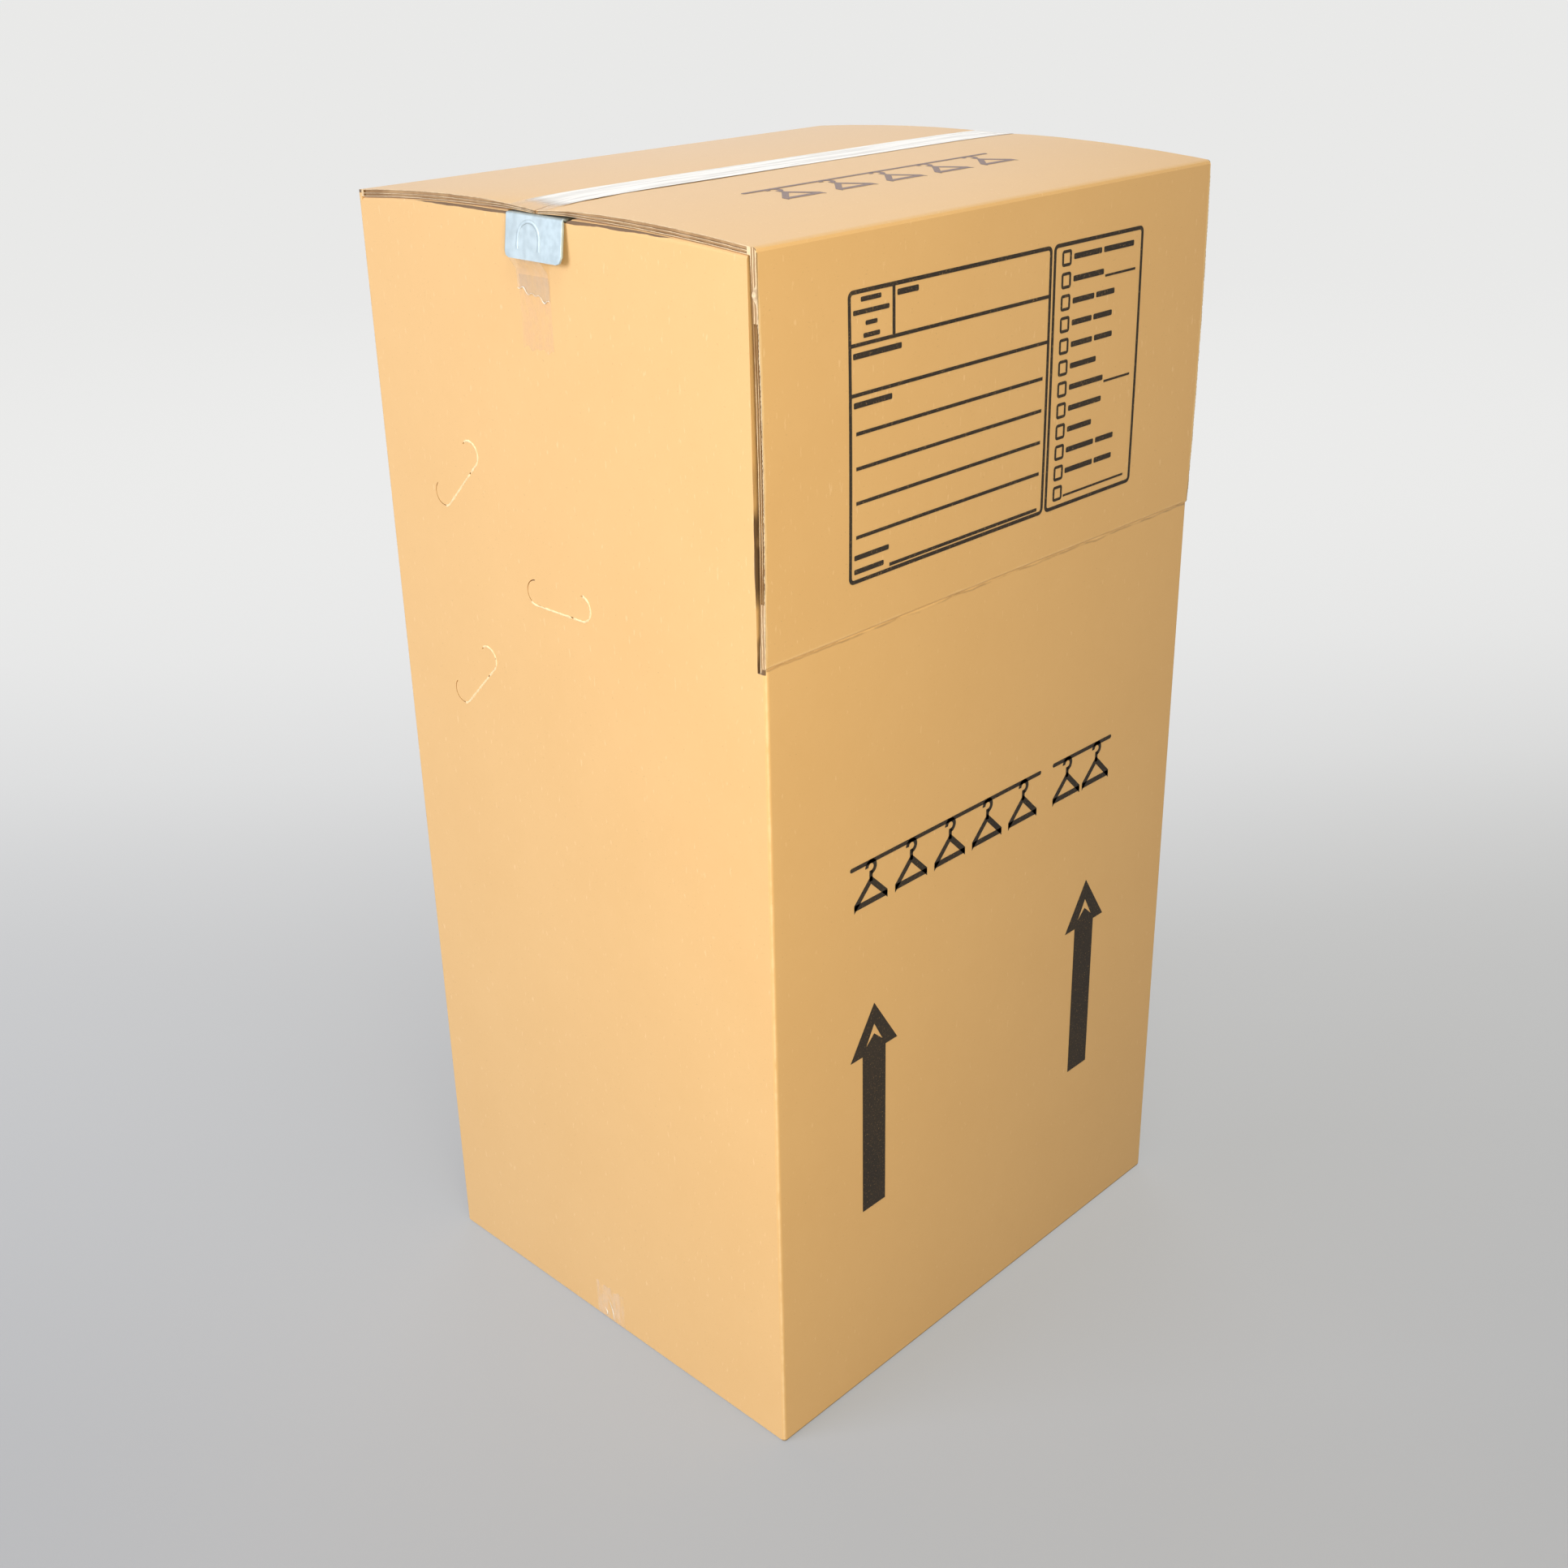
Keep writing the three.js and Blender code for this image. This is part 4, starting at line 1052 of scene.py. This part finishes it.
# Rows: left, right, top and count; the top row's third number is its distance from the fold
WIDE_ROW = (100.7, 384.2, 561.5, 5)
NARROW_ROW = (403.4, 503.9, 561.5, 2)
TOP_ROW = (143.5, 473.5, 161, 5)


def make_top_row():
    """The same row, faded, laid back over the front top flap."""
    left, right, from_fold, count = TOP_ROW
    piece = join(hanger_row(left, right, 0, count), "print_top_row")
    cut_at_stations(piece, INK_STEP)

    def on_flap(place):
        y = -HALF_DEPTH + from_fold * MM + (place.z - HEIGHT)
        return Vector((place.x, y, flap_surface(place.x, y) + INK_LIFT))

    lay_on(piece, on_flap, INK_THICKNESS)
    return finish_piece(piece, TOP_INK, "faded_ink", "top_hanger_row")


# Tapes
FILM_LIFT = 0.25 * MM
TAPE_WIDTH = 48 * MM
TAPE_TAIL_WIDTH = 42 * MM
TAPE_CENTRE = 2.5 * MM
TAPE_END_SHIFT = 6.5 * MM
TAPE_SHIFT_REACH = 90 * MM
TAPE_TAIL = 66 * MM
OLD_TAPE_CENTRE = 8 * MM
OLD_TAPE_WIDTH = 41 * MM
OLD_TAPE_TOP = 50 * MM
OLD_TAPE_BOTTOM = 113 * MM
BOTTOM_TAPE_WIDTH = 44 * MM
BOTTOM_TAPE_TAIL = 44 * MM
BED_DEPTH = 0.9 * MM
TORN = 1.2 * MM
TAIL_LEAN = 0.22
TAPE_CELLS = 24
TOP_STEPS = 72
TOP_SET_IN = 0.3 * MM
OLD_TAPE_ROWS = 30
FILM_THICKNESS = 0.06 * MM
FILM_EDGE_THICKNESS = 0.08 * MM

# How far the tapes' tails stand off the walls
TAIL_OUT = 0.7 * MM
TAIL_OUT_OVER_OLD = 1.2 * MM
TAIL_STEP = 4 * MM
FLAP_END_OUT = 0.2 * MM
FLAP_END_DROP = 0.6 * MM
BOTTOM_TAPE_OUT = 0.2 * MM

# Torn curl of the top tape, and wrinkles in the bottom tape: from centre, lean, low and high
CURL_STEPS = 60
WRINKLE_STEPS = 30
EDGE_CELLS = 3
EDGE_FINISH = (FILM_EDGE, "packing_tape")
LONG_WRINKLE = (-4 * MM, 9 * MM, 4 * MM, 30 * MM)
SHORT_WRINKLE = (8 * MM, 3 * MM, 5 * MM, 14 * MM)


def tape_centre(x):
    left, _ = end_share(x, TAPE_SHIFT_REACH)
    return TAPE_CENTRE + TAPE_END_SHIFT * left


def torn(y):
    return TORN * (math.sin(y / MM / 3.1) + math.sin(y / MM / 1.7 + 1))


def along_route(points, steps):
    """Points along a bent line, each straight run cut into steps."""
    route = []
    for start, end in zip(points, points[1:]):
        route += [tuple(a + (b - a) * k / steps for a, b in zip(start, end)) for k in range(steps)]
    return route + [points[-1]]


def wall_route(side):
    """The tape's run beyond the flap's end, as (out from the wall, height), from the torn end up."""
    foot = WEB_TOP - TAB_HEIGHT
    tab = TAB_STANDOFF + FILM_LIFT
    bend = (TAB_BEND + FILM_LIFT) * math.sqrt(0.5)
    edge = flap_surface(side * HALF_WIDTH, TAPE_CENTRE)
    return along_route(
        [
            (TAIL_OUT, HEIGHT - TAPE_TAIL),
            (TAIL_OUT, HEIGHT - OLD_TAPE_TOP - TAIL_STEP),
            (TAIL_OUT_OVER_OLD, HEIGHT - OLD_TAPE_TOP + TAIL_STEP),
            (tab + TAB_SPLAY, foot),
            (tab, WEB_TOP - TAB_BEND),
            (TAB_STANDOFF - TAB_BEND + bend, WEB_TOP - TAB_BEND + bend),
            (FLAP_END_OUT, edge - FLAP_END_DROP),
        ],
        4,
    )


def top_tape_stations():
    """The tape's stations from the left torn end, over the top, to the right torn end."""
    low = -HALF_WIDTH + TOP_SET_IN
    span = 2 * HALF_WIDTH - 2 * TOP_SET_IN
    stations = [("wall", -1, out, z) for out, z in wall_route(-1)]
    stations += [("top", 0, low + span * k / TOP_STEPS, 0) for k in range(TOP_STEPS + 1)]
    stations += [("wall", 1, out, z) for out, z in reversed(wall_route(1))]
    return stations


def make_top_tape():
    stations = top_tape_stations()

    def place(i, j):
        kind, side, first, z = stations[i]
        x = first if kind == "top" else side * (HALF_WIDTH + first)
        on_tail = kind == "wall" and first > FLAP_END_OUT
        width = TAPE_TAIL_WIDTH if on_tail else TAPE_WIDTH
        from_middle = (j / TAPE_CELLS - 0.5) * width
        y = tape_centre(x) + from_middle
        if kind == "top":
            wrinkle = wander(x * 12, y * 190, 0) * 0.12 * MM
            return (x, y, flap_surface(x, y) + FILM_LIFT + wrinkle)
        at_end = clamp((HEIGHT - OLD_TAPE_TOP - z) / (TAPE_TAIL - OLD_TAPE_TOP), 0, 1)
        end = side * HALF_WIDTH
        edge_shift = flap_surface(end, y) - flap_surface(end, TAPE_CENTRE)
        near_flap = clamp((z - WEB_TOP) / (2 * MM), 0, 1)
        lean = from_middle * TAIL_LEAN
        return (x, y, z + (torn(y) + lean) * at_end + edge_shift * near_flap)

    cells = (len(stations) - 1, TAPE_CELLS)
    finish = (TOP_FILM_PAINTED_REFLECTION, "packing_tape", "top_tape")
    tape = make_sheet("top_tape_film", cells, place, FILM_THICKNESS, finish, offset=1)
    tape.data.materials.append(WALL_FILM)
    # faces on the top get the film with the painted reflection, faces on the walls the clear film
    for face in tape.data.polygons:
        face.material_index = 1 if abs(face.center.x) > HALF_WIDTH - TOP_SET_IN else 0
    return tape


def make_old_tape():
    def place(i, j):
        share = i / OLD_TAPE_ROWS
        y = OLD_TAPE_CENTRE + (j / TAPE_CELLS - 0.5) * OLD_TAPE_WIDTH
        z = HEIGHT - OLD_TAPE_TOP - (OLD_TAPE_BOTTOM - OLD_TAPE_TOP) * share
        lift = 0.15 * MM + wander(y * 90, z * 40, 3) * 0.05 * MM
        return (-HALF_WIDTH - lift, y, z + torn(y) * share)

    finish = (OLD_FILM, "packing_tape", "old_tape_strip")
    return make_sheet("old_tape_film", (OLD_TAPE_ROWS, TAPE_CELLS), place, FILM_THICKNESS, finish)


def make_bottom_tape():
    under = BED_DEPTH - 0.3 * MM
    half = along_route(
        [
            (BOTTOM_TAPE_OUT, BOTTOM_TAPE_TAIL),
            (BOTTOM_TAPE_OUT, FOLD_RADIUS),
            (-0.6 * MM, FOLD_RADIUS * 0.35),
            (-FOLD_RADIUS, under),
            (-20 * MM, under),
        ],
        5,
    )
    stations = [(-1, *point) for point in half] + [(1, *point) for point in reversed(half)]

    def place(i, j):
        side, out, z = stations[i]
        y = TAPE_CENTRE - (j / TAPE_CELLS - 0.5) * BOTTOM_TAPE_WIDTH
        at_end = clamp((z - BOTTOM_TAPE_TAIL / 2) / (BOTTOM_TAPE_TAIL / 2), 0, 1)
        return (side * (HALF_WIDTH + out), y, z + torn(y) * at_end)

    cells = (len(stations) - 1, TAPE_CELLS)
    finish = (LOW_FILM, "packing_tape", "bottom_tape")
    return make_sheet("bottom_tape_film", cells, place, FILM_THICKNESS, finish)


def make_torn_curl(side, name):
    """The bright curled edge where the top tape was torn off."""
    centre = tape_centre(side * HALF_WIDTH)

    def place(i, j):
        from_middle = (i / CURL_STEPS - 0.5) * TAPE_TAIL_WIDTH
        y = centre + from_middle
        z = HEIGHT - TAPE_TAIL + torn(y) + from_middle * TAIL_LEAN
        width = (0.35 + 3 * wander(y * 120, 2, side) ** 2) * MM
        across = j / EDGE_CELLS - 0.5
        out = 0.9 * MM + math.cos(across * math.pi) * 0.4 * MM
        return (side * (HALF_WIDTH + out), y, z + across * clamp(width, 0.3 * MM, 1.5 * MM))

    return make_sheet(name, (CURL_STEPS, EDGE_CELLS), place, FILM_EDGE_THICKNESS, EDGE_FINISH)


def make_bottom_wrinkle(side, name, from_centre, lean, low, high):
    """A raised wrinkle in the tail of the bottom tape."""

    def place(i, j):
        share = i / WRINKLE_STEPS
        swell = math.sin(share * math.pi)
        z = low + (high - low) * share
        bow = math.sin(share * math.pi * 0.9) * 3 * MM
        width = swell * 1.3 * MM + 0.2 * MM
        across = j / EDGE_CELLS - 0.5
        y = TAPE_CENTRE + from_centre + lean * share - bow + across * width
        out = 0.3 * MM + math.cos(across * math.pi) * 0.5 * MM * swell
        return (side * (HALF_WIDTH + out), y, z)

    return make_sheet(name, (WRINKLE_STEPS, EDGE_CELLS), place, FILM_EDGE_THICKNESS, EDGE_FINISH)


def make_tape_details():
    for side, side_name in SIDES:
        make_torn_curl(side, f"{side_name}_torn_tape_curl")
        make_bottom_wrinkle(side, f"{side_name}_tape_wrinkle_long", *LONG_WRINKLE)
        make_bottom_wrinkle(side, f"{side_name}_tape_wrinkle_short", *SHORT_WRINKLE)


# Hanger bar
BEAD_RADIUS = 14 * MM
BEAD_LINE = 1.7 * MM
BEAD_LEGS = 9 * MM
BEAD_FLATNESS = 0.26
BEAD_FROM_TOP = 20 * MM
BEAD_BACK = 6 * MM


def make_hanger_bar():
    bar = copy_node("hanger_bar", "hanger_bar_sheet")
    smooth(bar, 50)
    apply_modifier(bar, "WEIGHTED_NORMAL", keep_sharp=True)
    return finish_piece(bar, STEEL, "galvanised_steel", "hanger_bar")


def tab_face(side, z):
    rise = (z - (WEB_TOP - TAB_HEIGHT)) / (TAB_HEIGHT - TAB_BEND)
    return side * (HALF_WIDTH + TAB_STANDOFF + TAB_SPLAY * (1 - clamp(rise, 0, 1)))


def make_tab_bead(side, name):
    """The shallow arch pressed into a tab."""
    middle_y = HALF_DEPTH - BAR_FROM_REAR - BAR_END_WIDTH / 2 + BEAD_BACK
    middle_z = WEB_TOP - BEAD_FROM_TOP
    deselect_all()
    bpy.ops.mesh.primitive_torus_add(
        major_radius=BEAD_RADIUS,
        minor_radius=BEAD_LINE,
        major_segments=40,
        minor_segments=12,
        location=(0, middle_y, middle_z),
        rotation=(0, math.pi / 2, 0),
    )
    bead = bpy.context.object
    settle(bead)
    edit_all(bead)
    bpy.ops.mesh.bisect(
        plane_co=(0, middle_y, middle_z), plane_no=(0, 0, 1), clear_inner=True, use_fill=False
    )
    bpy.ops.mesh.extrude_edges_move(TRANSFORM_OT_translate={"value": (0, 0, -BEAD_LEGS)})
    bpy.ops.mesh.edge_face_add()
    leave_edit_mode()
    for vertex in bead.data.vertices:
        vertex.co.x = tab_face(side, vertex.co.z) + vertex.co.x * BEAD_FLATNESS
    bead.name = name
    bead.data.name = name
    smooth(bead, 60)
    return finish_piece(bead, STEEL, "galvanised_steel")


# Stage: the floor's light as the camera sees it, at distances along X plus Y
FLOOR_SIZE = 90
FLOOR_NEAR = -1.0
FLOOR_FAR = 5.0
FLOOR_GLOW = (
    (-1.0, 0.225),
    (-0.45, 0.275),
    (0.13, 0.37),
    (0.52, 0.405),
    (1.06, 0.48),
    (1.7, 0.625),
    (2.55, 0.735),
    (3.7, 0.785),
    (5.0, 0.79),
)
FLOOR_GLOW_COLOUR = (1, 1, 0.99, 1)
FLOOR_COLOUR_RUN = (-1.4, 4.4)
FLOOR_COLOUR_NEAR = (0.19, 0.20, 0.22, 1)
FLOOR_COLOUR_FAR = (0.06, 0.06, 0.06, 1)
WORLD_COLOUR = (1, 0.985, 0.95, 1)
WORLD_STRENGTH = 0.29

# Lamps: name, place, target, size, power and colour
LAMPS = (
    ("side_light", (-4.0, 1.3, 2.1), (0.0, 0.0, 0.6), 2.4, 140, (1.0, 1.05, 1.22)),
    ("corner_light", (-1.35, -1.65, 1.05), (0.0, -0.26, 0.6), 0.8, 27, (1.0, 0.86, 0.58)),
    ("high_light", (-0.6, -1.2, 3.6), (0.0, -0.1, 1.18), 1.6, 48, (1.0, 0.97, 0.9)),
    ("back_light", (3.2, 3.4, 2.7), (0.0, 0.0, 1.1), 2.8, 48, (1.0, 1.0, 1.0)),
)


def floor_glow(tree, away):
    """The floor's own light at a distance, for rays that show it and not for those that light."""
    levels = tree.nodes.new("ShaderNodeValToRGB")
    levels.color_ramp.interpolation = "B_SPLINE"
    stops = levels.color_ramp.elements
    while len(stops) < len(FLOOR_GLOW):
        stops.new(0.5)
    for stop, (distance, level) in zip(stops, FLOOR_GLOW):
        stop.position = (distance - FLOOR_NEAR) / (FLOOR_FAR - FLOOR_NEAR)
        stop.color = (level, level, level, 1)
    from_near = minus(tree, away, FLOOR_NEAR)
    share = math_node(tree, "DIVIDE", from_near, FLOOR_FAR - FLOOR_NEAR)
    feed(tree, levels.inputs, Fac=share)
    path = tree.nodes.new("ShaderNodeLightPath")
    seen = plus(tree, path.outputs["Is Camera Ray"], path.outputs["Is Glossy Ray"])
    seen = plus(tree, seen, path.outputs["Is Transmission Ray"], limit=True)
    return times(tree, seen, levels.outputs["Color"])


def make_floor():
    deselect_all()
    bpy.ops.mesh.primitive_plane_add(size=FLOOR_SIZE)
    floor = bpy.context.object
    floor.name = "floor"
    material, tree, shader = new_material("floor_paint")
    x, y, _ = object_axes(tree)
    away = plus(tree, x, y)
    far_share = ramp(tree, away, *FLOOR_COLOUR_RUN)
    base = mix_colours(tree, far_share, FLOOR_COLOUR_NEAR, FLOOR_COLOUR_FAR)
    feed(tree, shader, Base_Color=base, Roughness=0.9, Specular_IOR_Level=0.1)
    feed(tree, shader, Emission_Color=FLOOR_GLOW_COLOUR, Emission_Strength=floor_glow(tree, away))
    floor.data.materials.append(material)


def aim(lamp, target):
    direction = Vector(target) - Vector(lamp.location)
    lamp.rotation_euler = direction.to_track_quat("-Z", "Y").to_euler()


def make_lamp(name, place, target, size, power, colour):
    deselect_all()
    bpy.ops.object.light_add(type="AREA", location=place)
    lamp = bpy.context.object
    lamp.name = name
    lamp.data.shape = "SQUARE"
    lamp.data.size = size
    lamp.data.energy = power
    lamp.data.color = colour
    aim(lamp, target)


def make_light():
    world = bpy.data.worlds.new("studio")
    bpy.context.scene.world = world
    world.use_nodes = True
    backdrop = world.node_tree.nodes["Background"].inputs
    feed(world.node_tree, backdrop, Color=WORLD_COLOUR, Strength=WORLD_STRENGTH)
    for lamp in LAMPS:
        make_lamp(*lamp)


def make_camera():
    deselect_all()
    bpy.ops.object.camera_add(location=CAMERA_PLACE)
    camera = bpy.context.object
    camera.rotation_euler = Euler([math.radians(angle) for angle in CAMERA_TURN])
    camera.data.lens = CAMERA_LENS
    camera.data.sensor_width = 36
    camera.data.shift_x, camera.data.shift_y = CAMERA_SHIFT
    camera.data.dof.use_dof = False
    bpy.context.scene.camera = camera


make_camera()
make_light()
make_floor()
make_carton()
make_carton_details()
make_tape_details()
make_hanger_bar()
for side, side_name in SIDES:
    make_tab_bead(side, f"{side_name}_tab_bead")
make_top_tape()
make_old_tape()
make_bottom_tape()
make_label_panel()
make_check_list()
press_down("left_arrow", "print_left_arrow")
press_down("right_arrow", "print_right_arrow")
print_on_front(hanger_row(*WIDE_ROW), "print_wide_row", "wide_hanger_row")
print_on_front(hanger_row(*NARROW_ROW), "print_narrow_row", "narrow_hanger_row")
make_top_row()

bpy.context.scene.view_settings.view_transform = "Standard"
